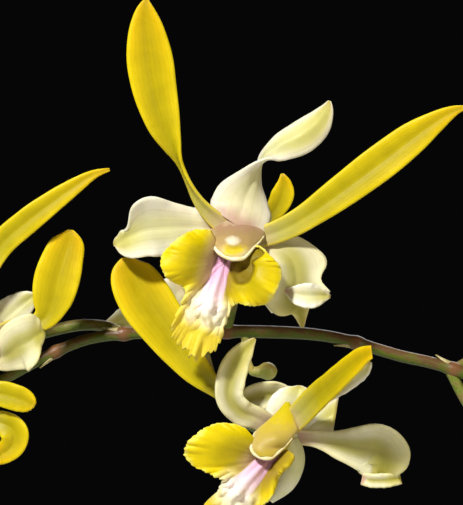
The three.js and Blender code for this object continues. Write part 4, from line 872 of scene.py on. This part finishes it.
def blade_tissue(name, lengthwise, middle, margin, vein, sockets):
    """Living blade tissue, told by three numbers on the surface: s across, u along and the half width.

    The colour runs along the blade by its stops. The middle colour lies over the broad middle, the
    margin colour along the edges and the vein colour in fine lengthwise lines, which also stand up.
    Mottles are about 3 mm across.
    """
    put, close = finish(name, sockets)
    s, u, _ = own_numbers(put)
    aside = put("Math ABSOLUTE", [s])
    mottle = put("TexNoise", {"Vector": put("TexCoord", pick=3), "Scale": 330.0, "Detail": 3.0})
    colour = put("ValToRGB", [put("Math MULTIPLY_ADD", [mottle, 0.06, u])], stops=lengthwise)
    code, amount, low, high = middle
    body = put("MapRange SMOOTHSTEP", [u, low, high, 0, 1])
    inner = put("MapRange SMOOTHSTEP", [aside, 0.15, 0.85, amount, 0])
    colour = put("Mix RGBA", [put("Math MULTIPLY", [body, inner]), colour, tone(code)])
    code, amount, start = margin
    colour = put("Mix RGBA", [put("MapRange SMOOTHSTEP", [aside, start, 1, 0, amount]), colour, tone(code)])
    code, amount, lines, depth = vein
    phase = put("Math MULTIPLY_ADD", [s, lines * math.pi, put("Math MULTIPLY", [mottle, 0.9])])
    line = put("Math POWER", [put("Math MAXIMUM", [put("Math COSINE", [phase]), 0.0]), 5.0])
    colour = put("Mix RGBA", [put("Math MULTIPLY", [line, amount]), colour, tone(code)])
    shade = put("MapRange", [mottle, 0.3, 0.7, 0.93, 1.05])
    colour = put("Mix RGBA", [1.0, colour, put("CombineXYZ", [shade, shade, shade])], blend_type="MULTIPLY")
    return close(colour, 0.6, depth, put("Math ADD", [line, mottle]))


def golden_petal(c):
    """Waxy petal tissue, thin and full of water: light glows through it, its margins are the brightest."""
    stops = [(0, "B89A84"), (0.1, "B8A47A"), (0.2, "B2AC58"), (0.4, "BCAC08"), (0.72, c.petal_hex), (1, "DCB000")]
    return blade_tissue("golden_petal_tissue", stops, ("8E8600", 0.5, 0.08, 0.4), ("E2CC10", 0.55, 0.6),
                        ("857E00", 0.13, 10, 0.012), LIVING | {"Roughness": 0.46, "Specular IOR Level": 0.2})


def cream_sepal(fresh=False):
    """Sepal tissue, thicker and paler: white margins, a green-yellow middle and a pinkish beige base.

    The second, greener kind is partly painted shade: its green-yellow is deeper and reaches nearer the base, its
    margins are creamier, and it darkens the sepals that lie in shade.
    """
    # fresh picks the greener kind, which is partly painted shade for the sepals that lie in shade
    name = "fresh_sepal_tissue" if fresh else "cream_sepal_tissue"
    stops = [(0, "B08C7C"), (0.1, "BE9F8C"), (0.22, "D8D0B0"), (0.55, "E2DFC8"), (0.76, "D2CA86"), (0.93, "CBC078"),
             (1, "B39A62")]
    middle = ("A29C36", 0.85, 0.06, 0.3) if fresh else ("BAB85C", 0.5, 0.1, 0.45)
    margin = ("E4DEA8", 0.6, 0.5) if fresh else ("F0ECE0", 0.75, 0.4)
    return blade_tissue(name, stops, middle, margin, ("B4B25A", 0.16, 6, 0.02),
                        LIVING | {"Roughness": 0.44, "Specular IOR Level": 0.25})


def leaf_blade(c):
    """Leaf: leathery and half glossy, deep green with parallel veins and a paler edge."""
    stops = [(0, "5E7A34"), (0.08, c.leaf_hex), (0.5, "355C22"), (0.9, "3F6626"), (1, "7A7A34")]
    shine = {"Roughness": 0.34, "Subsurface Weight": 0.06, "Subsurface Scale": 0.0015, "Specular IOR Level": 0.5}
    return blade_tissue("leathery_leaf", stops, ("27491B", 0.5, 0.05, 0.3), ("6E8A3C", 0.5, 0.86),
                        ("4F7A32", 0.35, 9, 0.09), shine)


def green_tissue():
    """Ovary and spur: smooth pale green skin, whiter towards the tip."""
    put, close = finish("ovary_tissue", LIVING | {"Roughness": 0.4, "Specular IOR Level": 0.3})
    _, length, _ = own_numbers(put)
    mottle = put("TexNoise", {"Vector": put("TexCoord", pick=3), "Scale": 300.0, "Detail": 3.0})
    place = put("Math ADD", [put("MapRange", [length, 0, 13, -0.35, 0.5]), mottle])
    return close(put("ValToRGB", [place], stops=[(0, "C9C790"), (0.5, "DCDDA8"), (1, "ECEAD2")]), 0.4, 0.1, mottle)


def lip_tissue(c):
    """Lip tissue, as thin as the petals but crinkled and matt.

    Yellow side lobes, darker towards the throat, partly by painted shade, with bright margins and an olive hollow
    that is partly painted shade; a ridge that starts lavender pink with darker stripes and ends white; a white patch
    round its end; near the throat pinkish on the left and painted brown shade on the right.
    """
    put, close = finish("ruffled_lip_tissue", LIVING | {"Roughness": 0.48, "Specular IOR Level": 0.2})
    x, down, rho = own_numbers(put)
    mark = put("Attribute", pick=2, attribute_name="mark")
    aside = put("Math ABSOLUTE", [x])
    mottle = put("TexNoise", {"Vector": put("TexCoord", pick=3), "Scale": 420.0, "Detail": 4.0})

    def patch_of(wide, long, *more):
        """A soft patch: its share across times its share down, times what else is given."""
        share = put("MapRange SMOOTHSTEP", [aside, *wide])
        for factor in (put("MapRange SMOOTHSTEP", [down, *long]), *more):
            share = put("Math MULTIPLY", [share, factor])
        return share

    # Darker towards the throat: partly the lip's own olive and brown, partly painted shade under the column.
    radial = put("Math ADD", [rho, put("MapRange", [mottle, 0.3, 0.7, -0.05, 0.05])])
    colour = put("ValToRGB", [radial], stops=[(0, "8A6A44"), (0.3, "A08E20"), (0.58, "B4A200"), (0.8, c.lip_hex),
                                              (0.94, "E0CA08"), (1, "EADC60")])
    colour = put("Mix RGBA", [patch_of((9, 5, 0, 1), (10, 15, 0, 0.75)), colour, tone("DCC640")])
    veins = put("Math SINE", [put("Math MULTIPLY", [put("Math ARCTAN2", [x, down]), 34.0])])
    fan = put("Math MULTIPLY", [put("MapRange", [veins, 0.2, 1, 0, 0.14]), put("MapRange", [rho, 0.45, 0.7, 0, 1])])
    colour = put("Mix RGBA", [fan, colour, tone("B49C08")])
    below = put("MapRange SMOOTHSTEP", [down, 15, 11.5, 0, 1])
    white = patch_of((5.8, 2.6, 0, 1), (5.5, 9.5, 0, 0.95), below, put("MapRange", [mottle, 0.36, 0.5, 0.6, 1]))
    colour = put("Mix RGBA", [white, colour, tone("EDE5CE")])
    # Near the throat: pinkish on the left, the lip's own tint, and brown on the right, painted shade under the column.
    throat_tint_and_shade = put("Mix RGBA", [put("MapRange", [x, -1.5, 1.5, 0, 1]), tone("C9A898"), tone("8A6C2C")])
    colour = put("Mix RGBA", [patch_of((5.5, 2, 0, 0.6), (8, 4, 0, 1)), colour, throat_tint_and_shade])
    # Painted shade: the hollow in the side lobe is darkened to olive brown, partly its own olive and partly shade cast
    # by the column.
    colour = put("Mix RGBA", [put("MapRange", [mark, 0, -0.5, 0, 0.92]), colour, tone("7E6C18")])

    crest = put("ValToRGB", [put("MapRange", [down, -1, 13, 0, 1])],
                stops=[(0, "B07A92"), (0.16, c.crest_hex), (0.45, "E6C6DE"), (0.66, "EEDCE2"), (0.85, "F0E8D6"),
                       (1, "EEE6C2")])
    stripe = put("MapRange", [put("Math COSINE", [put("Math MULTIPLY", [x, 3.7])]), 0.1, -0.9, 0, 0.4])
    stripe = put("Math MULTIPLY", [stripe, put("MapRange", [down, 9, 3, 0.15, 1])])
    crest = put("Mix RGBA", [stripe, crest, tone("C98DB4")])
    colour = put("Mix RGBA", [put("MapRange SMOOTHSTEP", [mark, 0.25, 0.7, 0, 1]), colour, crest])
    return close(colour, 0.7, 0.08, put("Math MULTIPLY_ADD", [veins, 0.15, mottle]))


def column_tissue(c, fresh=False):
    """Column tissue: smooth, fleshy and a little shiny.

    Cream where it leaves the sepals, pinkish brown, then beige further down, with a painted highlight, soft and white,
    on the anther over a clear yellow dip. Each patch is an ellipse in the places across and up. In a fresh
    bloom it is yellow over olive, without patches.
    """
    name = "fresh_column_tissue" if fresh else "column_tissue"
    put, close = finish(name, LIVING | {"Roughness": 0.46, "Specular IOR Level": 0.22})
    x, z, t = own_numbers(put)
    mottle = put("TexNoise", {"Vector": put("TexCoord", pick=3), "Scale": 700.0, "Detail": 4.0})
    stops = [(0, "DCD6B6"), (0.22, "CFC09C"), (0.38, "A17E66"), (0.55, c.column_hex), (0.72, "B2965F"), (1, "D2C496")]
    if fresh:
        stops = [(0, "CDB90E"), (0.25, "C9B420"), (0.45, "BBA448"), (0.7, "B29C4C"), (1, "C0A82A")]
    colour = put("ValToRGB", [put("Math ADD", [t, put("MapRange", [mottle, 0.3, 0.7, -0.06, 0.06])])], stops=stops)
    side = put("Attribute", pick=2, attribute_name="mark")
    colour = put("Mix RGBA", [put("MapRange", [side, 0.4, 1, 0, 0.5]), colour, tone("CDB88E")])
    # The dip is the anther's own yellow; the white patch over it is a painted highlight.
    dip, painted_highlight = (-1.2, 2.4, -2.5, 1.15, "D6BE00", 0.95), (-1.4, 1.3, -0.7, 0.7, "F2EAD6", 0.72)
    for across, wide, up, high, code, most in () if fresh else (dip, painted_highlight):
        squares = [put("Math POWER", [put("Math MULTIPLY_ADD", [way, 1 / half, -middle / half]), 2.0])
                   for way, middle, half in ((x, across, wide), (z, up, high))]
        reach = put("Math ADD", [put("Math ADD", squares), put("MapRange", [mottle, 0.3, 0.7, -0.45, 0.45])])
        colour = put("Mix RGBA", [put("MapRange SMOOTHSTEP", [reach, 1.7, 0.1, 0, most]), colour, tone(code)])
    return close(colour, 0.5, 0.08, mottle)


def column_margin():
    """The column's lower edge: a pale waxy bead."""
    put, close = finish("column_margin_wax", LIVING | {"Roughness": 0.28, "Specular IOR Level": 0.3})
    mottle = put("TexNoise", {"Vector": put("TexCoord", pick=3), "Scale": 600.0, "Detail": 2.0})
    return close(put("Mix RGBA", [put("MapRange", [mottle, 0.35, 0.65, 0, 1]), tone("F2EACC"), tone("E2D28C")]))


def stem_skin(name, lower, middle, upper, joint, roughness):
    """The skin of a stem: smooth and tight, darker where the sun reaches it, with rough rings at its joints.

    The colour follows how far the skin faces up, wavering with patches about 9 mm long and fine streaks.
    """
    put, close = finish(name, {"Roughness": roughness, "Subsurface Weight": 0.08, "Subsurface Scale": 0.001,
                               "Specular IOR Level": 0.4})
    up, length, near = own_numbers(put)
    skin = put("CombineXYZ", [length, put("Math MULTIPLY", [up, 3.0]), 0.0])
    cloud = put("TexNoise", {"Vector": skin, "Scale": 0.22, "Detail": 5.0, "Roughness": 0.65})
    fleck = put("TexNoise", {"Vector": skin, "Scale": 1.6, "Detail": 2.0})
    side = put("Math ADD", [put("MapRange", [up, -1, 1, 0, 1]), put("MapRange", [cloud, 0.35, 0.65, -0.4, 0.4])])
    colour = put("ValToRGB", [side], stops=[(0.3, lower), (0.48, middle), (0.7, upper)])
    colour = put("Mix RGBA", [put("MapRange", [fleck, 0.5, 0.75, 0, 0.3]), colour, tone(joint)])
    colour = put("Mix RGBA", [put("MapRange", [near, 0.2, 0.9, 0, 0.85]), colour, tone(joint)])
    return close(colour, 0.6, 0.15, put("Math ADD", [cloud, fleck]))


def papery_sheath():
    """An old leaf sheath: dry, matt and papery, straw-coloured with brown lengthwise streaks about 1 mm apart."""
    put, close = finish("papery_sheath", {"Roughness": 0.75, "Specular IOR Level": 0.25})
    wide = put("Mapping", {"Vector": put("TexCoord", pick=3), "Scale": (900.0, 900.0, 30.0)})
    streak = put("TexNoise", {"Vector": wide, "Scale": 1.0, "Detail": 4.0})
    colour = put("ValToRGB", [streak], stops=[(0.3, "7D6A45"), (0.48, "A89A68"), (0.62, "C6BC90"), (0.8, "D6CFAE")])
    return close(colour, 0.8, 0.2, streak)


def fired_clay(c):
    """Unglazed terracotta, turned and fired: matt and porous, with turning lines 2 mm apart and pale salt bloom."""
    put, close = finish("fired_clay", {"Roughness": 0.86, "Specular IOR Level": 0.25})
    place = put("TexCoord", pick=3)
    cloud = put("TexNoise", {"Vector": place, "Scale": 22.0, "Detail": 6.0, "Roughness": 0.6})
    grit = put("TexNoise", {"Vector": place, "Scale": 900.0, "Detail": 3.0})
    _, _, height = put("SeparateXYZ", [place], pick=None)
    lines = put("Math SINE", [put("Math MULTIPLY_ADD", [height, 3140.0, put("Math MULTIPLY", [cloud, 3.0])])])
    colour = put("ValToRGB", [cloud], stops=[(0.25, "9C5232"), (0.5, c.clay_hex), (0.75, "C8794F")])
    low = put("MapRange SMOOTHSTEP", [height, 0.03, 0.002, 0, 1])
    rim = put("MapRange SMOOTHSTEP", [height, 0.085, 0.118, 0, 1])
    salt = put("Math MULTIPLY", [put("Math MAXIMUM", [low, rim]), put("MapRange", [cloud, 0.4, 0.68, 0, 0.75])])
    colour = put("Mix RGBA", [salt, colour, tone("DCC3AC")])
    colour = put("Mix RGBA", [put("MapRange", [grit, 0.52, 0.72, 0, 0.4]), colour, tone("8E4A2E")])
    return close(colour, 0.55, 0.25, put("Math MULTIPLY_ADD", [lines, 0.25, put("Math ADD", [grit, cloud])]))


def fir_bark(c):
    """Chipped fir bark: rough, fibrous and matt; every chip has its own brown, streaked along its grain."""
    put, close = finish("fir_bark_chips", {"Roughness": 0.9, "Specular IOR Level": 0.2})
    x, y, tint = own_numbers(put)
    rough = put("TexNoise", {"Vector": put("TexCoord", pick=3), "Scale": 350.0, "Detail": 6.0, "Roughness": 0.7})
    place = put("CombineXYZ", [x, put("Math MULTIPLY", [y, 9.0]), put("Math MULTIPLY", [tint, 60.0])])
    layer = put("TexNoise", {"Vector": place, "Scale": 1.4, "Detail": 4.0})
    mixed = put("Math MULTIPLY_ADD", [tint, 0.45, put("Math MULTIPLY", [layer, 0.75])])
    colour = put("ValToRGB", [mixed], stops=[(0.25, "2E1D13"), (0.45, "553522"), (0.62, c.bark_hex), (0.85, "A1794F")])
    return close(colour, 0.9, 0.9, put("Math ADD", [rough, layer]))


def floor_paint():
    """Matt paint on a level floor: pale grey, very faintly clouded."""
    put, close = finish("pale_floor_paint", {"Roughness": 0.7})
    tint = put("TexNoise", {"Vector": put("TexCoord", pick=3), "Scale": 9.0, "Detail": 4.0})
    return close(put("Mix RGBA", [put("MapRange", [tint, 0.35, 0.65, 0, 1]), tone("D6D3CD"), tone("DCDAD5")]))


# ---------------------------------------------------------------- sizes and colours a user would change
def length_of(label, says, default_mm, most_mm):
    """A size kept in metres, given here in mm."""
    return bpy.props.FloatProperty(name=label, description=says, default=default_mm * MM, min=0, max=most_mm * MM,
                                   subtype="DISTANCE", unit="LENGTH", precision=5)


def hex_of(label, says, default):
    """A colour kept as six hex digits of sRGB."""
    return bpy.props.StringProperty(name=label, description=says, default=default, maxlen=6)


class OrchidSizes(bpy.types.PropertyGroup):
    """The sizes of the dressed orchid."""

    petal_thickness: length_of("Petal thickness", "Thickness of a petal in its middle", 0.75, 2)
    sepal_thickness: length_of("Sepal thickness", "Thickness of a sepal in its middle", 0.8, 2)
    leaf_thickness: length_of("Leaf thickness", "Thickness of a leaf in its middle", 1.1, 3)
    chip_length: length_of("Chip length", "Usual length of a bark chip", 13, 30)
    lip_frill: bpy.props.FloatProperty(name="Lip frill", description="How strongly the lip's margin is frilled",
                                       default=1.0, min=0, max=2)
    chips: bpy.props.IntProperty(name="Bark chips", description="Chips lying over the pot", default=330, min=1, max=900)


class OrchidColours(bpy.types.PropertyGroup):
    """The main colours of the dressed orchid, as sRGB hex."""

    petal_hex: hex_of("Petal", "Golden yellow of the petals", "D0B600")
    lip_hex: hex_of("Lip", "Yellow of the lip", "D4BE00")
    crest_hex: hex_of("Crest", "Lavender pink of the lip's ridge", "DCA8CC")
    column_hex: hex_of("Column", "Pinkish beige of the column", "A2875C")
    leaf_hex: hex_of("Leaf", "Green of the leaves", "3E6A2A")
    clay_hex: hex_of("Clay", "Terracotta of the pot", "B5633D")
    bark_hex: hex_of("Bark", "Middle brown of the bark", "785236")


# ---------------------------------------------------------------- operators
class ORCHID_OT_petals(bpy.types.Operator):
    """Makes the two golden petals of every bloom"""

    bl_idname = "orchid.petals"
    bl_label = "Petals"

    def execute(self, context):
        thickness = context.scene.orchid_sizes.petal_thickness / MM
        finishes = [golden_petal(context.scene.orchid_colours), cream_sepal()]
        for bloom in bloom_places():
            letter, form = bloom[:2]
            grid = (64, 16) if letter in NEAR_BLOOMS else (44, 12)  # cells along and across
            blades = [blade_surface(b, *grid, thickness, groove=0.2, flutter=0.18) for b in form["petals"]]
            bloom_piece("petals", bloom, blades, finishes)
        return {"FINISHED"}


class ORCHID_OT_sepals(bpy.types.Operator):
    """Makes the three cream sepals of every bloom, its ovary and its spur"""

    bl_idname = "orchid.sepals"
    bl_label = "Sepals"

    def execute(self, context):
        thickness = context.scene.orchid_sizes.sepal_thickness / MM
        # The fourth finish, the greener sepal tissue, is partly painted shade for the sepals that lie in shade.
        finishes = [cream_sepal(), green_tissue(), golden_petal(context.scene.orchid_colours), cream_sepal(fresh=True)]
        for bloom in bloom_places():
            letter, form = bloom[:2]
            grid = (60, 24) if letter in NEAR_BLOOMS else (40, 16)  # cells along and across
            parts = [blade_surface(b, *grid, thickness, groove=0.25, flutter=0.25) for b in form["sepals"]]
            parts.append(tube_surface(np.array(OVARY) * [1, facing(form), 1, 1], 20, 20, finish=1))
            if "spur" in form:
                parts.append(tube_surface(form["spur"], 26, 24, finish=1, flat=0.85))
            bloom_piece("sepals", bloom, parts, finishes)
        return {"FINISHED"}


class ORCHID_OT_lips(bpy.types.Operator):
    """Makes the ruffled lip of every bloom with its ridge"""

    bl_idname = "orchid.lips"
    bl_label = "Lips"

    def execute(self, context):
        frill = context.scene.orchid_sizes.lip_frill
        tissue = lip_tissue(context.scene.orchid_colours)
        for bloom in bloom_places():
            letter, form = bloom[:2]
            around, outward, keels = (260, 70, 1.0) if letter in NEAREST_LIPS else (130, 24, 0.6)
            front = front_of(form)
            turn = front @ turned(0, form.get("lip_nod", 0)) @ turned(1, form.get("lip_turn", 0))
            fan = lip_surface(form, around, outward, frill, keels)
            fan = moved(fan, turn, front @ throat_place(form))
            bloom_piece("lip", bloom, [fan], [tissue])
        return {"FINISHED"}


class ORCHID_OT_columns(bpy.types.Operator):
    """Makes the column of every bloom: its hood, its bead and its foot"""

    bl_idname = "orchid.columns"
    bl_label = "Columns"

    def execute(self, context):
        colours = context.scene.orchid_colours
        plain, fresh, margin = column_tissue(colours), column_tissue(colours, fresh=True), column_margin()
        for bloom in bloom_places():
            form = bloom[1]
            turn = front_of(form) @ turned(1, form.get("column_turn", form.get("lip_turn", 0)))
            throat = form.get("throat", [0, -5])  # here it is given before the column is turned
            parts = [moved(part, turn, [0, 0, 0]) for part in column_surfaces(form.get("hood", HOOD), *throat)]
            bloom_piece("column", bloom, parts, [fresh if "fresh" in form else plain, margin])
        return {"FINISHED"}


def scale_leaf(rows, share, number):
    """A small dry scale that clasps the stem at a joint: a short blade along the stem, bent round it."""
    here, ahead = along(rows, share), along(rows, min(share + 0.01, 1))
    run = unit(ahead[:3] - here[:3])
    out = unit(np.cross(run, [0, 1, 0])) * (1 if number % 2 else -1)
    radius, reach = here[3], 3.2 + here[3]
    line = [[*(here[:3] + run * reach * t + out * (radius * 1.04 + 0.5 * t * t)), radius * w, 0, -0.55]
            for t, w in ((0, 0.9), (0.3, 0.85), (0.65, 0.6), (1, 0.12))]
    return blade_surface({"rows": line, "face": out}, 12, 8, thickness=0.25, finish=3)


def stalk(rows, x, letter, way):
    """A bloom's stalk, from the stem at the given x over the points on its way to the bloom's ovary."""
    line = np.array([along(rows, share_at(rows, x + SPRAY[0]))[:3], *(SPRAY + np.array(way)), ovary_end(letter)])
    return tube_surface(np.column_stack([line, np.linspace(1.05, 1.3, len(line))]), 40, 16, finish=1)


def bud(rows, x, direction, reach, length):
    """A bud on its stalk, straight out from the stem: thickest, at 0.3 of its length, 0.4 of the way along."""
    start, way = along(rows, share_at(rows, x + SPRAY[0]))[:3], unit(np.array(direction))
    swell = length * 0.3
    shape = [(0, 0.7), (reach * 0.6, 0.7), (reach, 0.8), (reach + length * 0.2, swell * 0.85),
             (reach + length * 0.4, swell), (reach + length * 0.7, swell * 0.75), (reach + length, 0.35)]
    return tube_surface([[*(start + way * out), radius] for out, radius in shape], 48, 18, finish=2)


class ORCHID_OT_flower_stems(bpy.types.Operator):
    """Makes the two flower stems with their joints, scale leaves, stalks, buds and the knob"""

    bl_idname = "orchid.flower_stems"
    bl_label = "Flower Stems"

    def execute(self, context):
        finishes = [
            stem_skin("flower_stem_skin", "4E6008", "605822", "5E4426", "7A5030", 0.4),
            stem_skin("flower_stalk_skin", "5E7220", "74802E", "7A6E38", "8E6E44", 0.42),
            stem_skin("bud_skin", "A9B254", "BFC068", "BFB060", "A3904A", 0.36),
            papery_sheath(),
        ]
        for name, rows in STEMS.items():
            rows = np.array(rows) + [*SPRAY, 0]
            joints = [share_at(rows, x + SPRAY[0]) for x in JOINTS[name]]
            parts = [tube_surface(rows, STEM_RINGS[name], 20, joints=joints, swell=0.32)]
            parts += [scale_leaf(rows, share, number) for number, share in enumerate(joints)]
            if name == "main":
                parts.append(tube_surface(np.array(KNOB) + [*SPRAY, 0], 60, 20, finish=2))
            parts += [stalk(rows, *row) for row in STALKS[name]]
            parts += [bud(rows, *row) for row in BUDS[name]]
            piece(f"stem_{name}", [f"flower_stem_{name}"], parts, finishes)
        return {"FINISHED"}


def cane_points(base, top, share):
    """Points of a cane's middle line at shares of the way up: it bows in by 6 mm halfway."""
    bottom, crown = np.array([*base, CANE_FOOT], float), np.array(top, float)
    bow = unit(np.array([*base, 0.0])) * -12
    share = np.asarray(share)[..., None]
    return bottom + (crown - bottom) * share + bow * 2 * share * (1 - share)


def leaf(start, side, length, droop, thickness):
    """A leaf that leaves its cane towards a compass side, rises, arches over and hangs by its droop."""
    out = np.array([math.cos(math.radians(side)), math.sin(math.radians(side)), 0])
    line = []
    for t, half in LEAF_SHAPE:
        reach, rise = 0.55 * t + 0.36 * t * t, 0.72 * t - (0.42 + droop * 0.7) * t * t
        line.append([*(start + out * length * reach + [0, 0, length * rise]), half * length / LEAF_LENGTH, 0, 0.22])
    blade = {"rows": line, "face": out * -0.5 + [0, 0, 1]}
    return blade_surface(blade, 48, 16, thickness, finish=2, groove=0.8, flutter=0.3)


class ORCHID_OT_leafy_canes(bpy.types.Operator):
    """Makes the five canes with their joints, papery sheaths and leaves"""

    bl_idname = "orchid.leafy_canes"
    bl_label = "Leafy Canes"

    def execute(self, context):
        thickness = context.scene.orchid_sizes.leaf_thickness / MM
        finishes = [
            stem_skin("cane_skin", "6F7F2C", "7C8A34", "8E9440", "9A8A50", 0.45),
            papery_sheath(),
            leaf_blade(context.scene.orchid_colours),
        ]
        share = np.linspace(0, 1, CANE_JOINTS + 2)
        swell = 0.62 + 0.42 * np.sin(math.pi * np.minimum(1, share * 1.12)) - 0.16 * share
        swell = swell * np.where(np.arange(len(share)) % 2, 1, 0.88)  # every other row is a waist
        joints = [(k + 1.5) / (CANE_JOINTS + 1) for k in range(CANE_JOINTS)]
        for name, (base, top, radius, leaves) in CANES.items():
            rows = np.column_stack([cane_points(base, top, share), radius * swell])
            parts = [tube_surface(rows, 200, 28, joints=joints, swell=0.07)]
            for low, high in zip([0.12, *joints[:-1]], joints):  # a sheath from each joint to just under the next
                ends = along(rows, np.linspace(low + 0.004, high - 0.018, 6))
                ends[:, 3] += [0.25, 0.35, 0.4, 0.45, 0.5, 0.65]  # it gapes towards its upper end
                dry = low < 0.45
                parts.append(tube_surface(ends, 14, 28, finish=1 if dry else 0))
            parts += [leaf(cane_points(base, top, place), *shape, thickness) for place, *shape in leaves]
            piece(f"cane_{name}", [f"leafy_cane_{name}"], parts, finishes)
        return {"FINISHED"}


class ORCHID_OT_pot(bpy.types.Operator):
    """Turns the clay pot and bores its three drain holes"""

    bl_idname = "orchid.pot"
    bl_label = "Clay Pot"

    def execute(self, context):
        clay = fired_clay(context.scene.orchid_colours)
        pot = piece("clay_pot", ["pot"], [turned_surface(POT_PROFILE, 120, wobble=0.0016)], [clay])
        bores = []
        for angle in (0, 2.0944, 4.1888):  # thirds of a turn
            x, y = DRAIN_OUT * math.cos(angle), DRAIN_OUT * math.sin(angle)
            bores.append(tube_surface([[x, y, -4, DRAIN_RADIUS], [x, y, 12, DRAIN_RADIUS]], 2, 32))
        cutter = piece("drain_bores", [], bores, [])
        hole = pot.modifiers.new("drain holes", "BOOLEAN")
        hole.operation, hole.solver, hole.object = "DIFFERENCE", "EXACT", cutter
        bored = bpy.data.meshes.new_from_object(pot.evaluated_get(context.evaluated_depsgraph_get()))
        if len(bored.polygons) <= len(pot.data.polygons):
            raise RuntimeError("the drain holes were not bored")
        pot.modifiers.remove(hole)
        pot.data = bored
        bpy.data.objects.remove(cutter)
        return {"FINISHED"}


class ORCHID_OT_bark(bpy.types.Operator):
    """Fills the pot with bark and strews chips over it"""

    bl_idname = "orchid.bark"
    bl_label = "Bark"

    def execute(self, context):
        sizes = context.scene.orchid_sizes
        chip = sizes.chip_length / MM * np.array([1, 0.62, 0.34])  # length, width and height
        chips = chip_surface(sizes.chips, chip, radius=49.5, height=103.5, seed=11)
        filling = turned_surface(BARK_PROFILE, 60)
        piece("bark_chips", ["bark"], [filling, chips], [fir_bark(context.scene.orchid_colours)])
        return {"FINISHED"}


class ORCHID_OT_stage(bpy.types.Operator):
    """Sets the pale floor, the soft studio lights and the camera at the photograph's angle"""

    bl_idname = "orchid.stage"
    bl_label = "Stage"

    def execute(self, context):
        scene = context.scene
        floor = piece("floor", [], [turned_surface(FLOOR_PROFILE, 96)], [floor_paint()])
        for name, place, target, size, power, tint in LAMPS:
            lamp = bpy.data.lights.new(name, "AREA")
            lamp.size, lamp.energy, lamp.color = size, power, tone(tint)[:3]
            holder = bpy.data.objects.new(name, lamp)
            holder.location = place
            holder.rotation_euler = (Vector(target) - Vector(place)).to_track_quat("-Z", "Y").to_euler()
            holder.visible_camera = False
            scene.collection.objects.link(holder)
        world = bpy.data.worlds.new("studio_air")
        world.use_nodes = True
        air = world.node_tree.nodes["Background"].inputs
        air["Color"].default_value, air["Strength"].default_value = tone("060607"), 1.0
        scene.world = world
        scene.view_settings.view_transform = "Standard"
        camera = bpy.data.cameras.new("camera")
        camera.sensor_width, camera.lens = SENSOR, SENSOR * FACES_AWAY / VIEW_TALL
        camera.clip_start, camera.clip_end = 0.05, 60
        holder = bpy.data.objects.new("camera", camera)
        holder.location = Vector(SPRAY * MM) + Vector((0, -SPRAY_AWAY * MM, 0))
        holder.rotation_euler = (math.pi / 2, 0, 0)
        scene.collection.objects.link(holder)
        scene.camera = holder
        return {"FINISHED"}


class ORCHID_PT_panel(bpy.types.Panel):
    """Lists the orchid's sizes, colours and makers"""

    bl_label = "Potted Orchid"
    bl_space_type = "VIEW_3D"
    bl_region_type = "UI"
    bl_category = "Orchid"

    def draw(self, context):
        for group in (context.scene.orchid_sizes, context.scene.orchid_colours):
            for key in type(group).__annotations__:
                self.layout.prop(group, key)
        for maker in MAKERS:
            self.layout.operator(maker.bl_idname)


MAKERS = (
    ORCHID_OT_stage, ORCHID_OT_pot, ORCHID_OT_bark, ORCHID_OT_leafy_canes, ORCHID_OT_flower_stems,
    ORCHID_OT_sepals, ORCHID_OT_petals, ORCHID_OT_columns, ORCHID_OT_lips,
)
CLASSES = (OrchidSizes, OrchidColours, *MAKERS, ORCHID_PT_panel)


def register():
    for cls in CLASSES:
        bpy.utils.register_class(cls)
    bpy.types.Scene.orchid_sizes = bpy.props.PointerProperty(type=OrchidSizes)
    bpy.types.Scene.orchid_colours = bpy.props.PointerProperty(type=OrchidColours)


def unregister():
    del bpy.types.Scene.orchid_colours
    del bpy.types.Scene.orchid_sizes
    for cls in reversed(CLASSES):
        bpy.utils.unregister_class(cls)


def main():
    register()
    bpy.ops.orchid.stage()
    bpy.ops.orchid.pot()
    bpy.ops.orchid.bark()
    bpy.ops.orchid.leafy_canes()
    bpy.ops.orchid.flower_stems()
    bpy.ops.orchid.sepals()
    bpy.ops.orchid.petals()
    bpy.ops.orchid.columns()
    bpy.ops.orchid.lips()


if __name__ == "__main__":
    main()
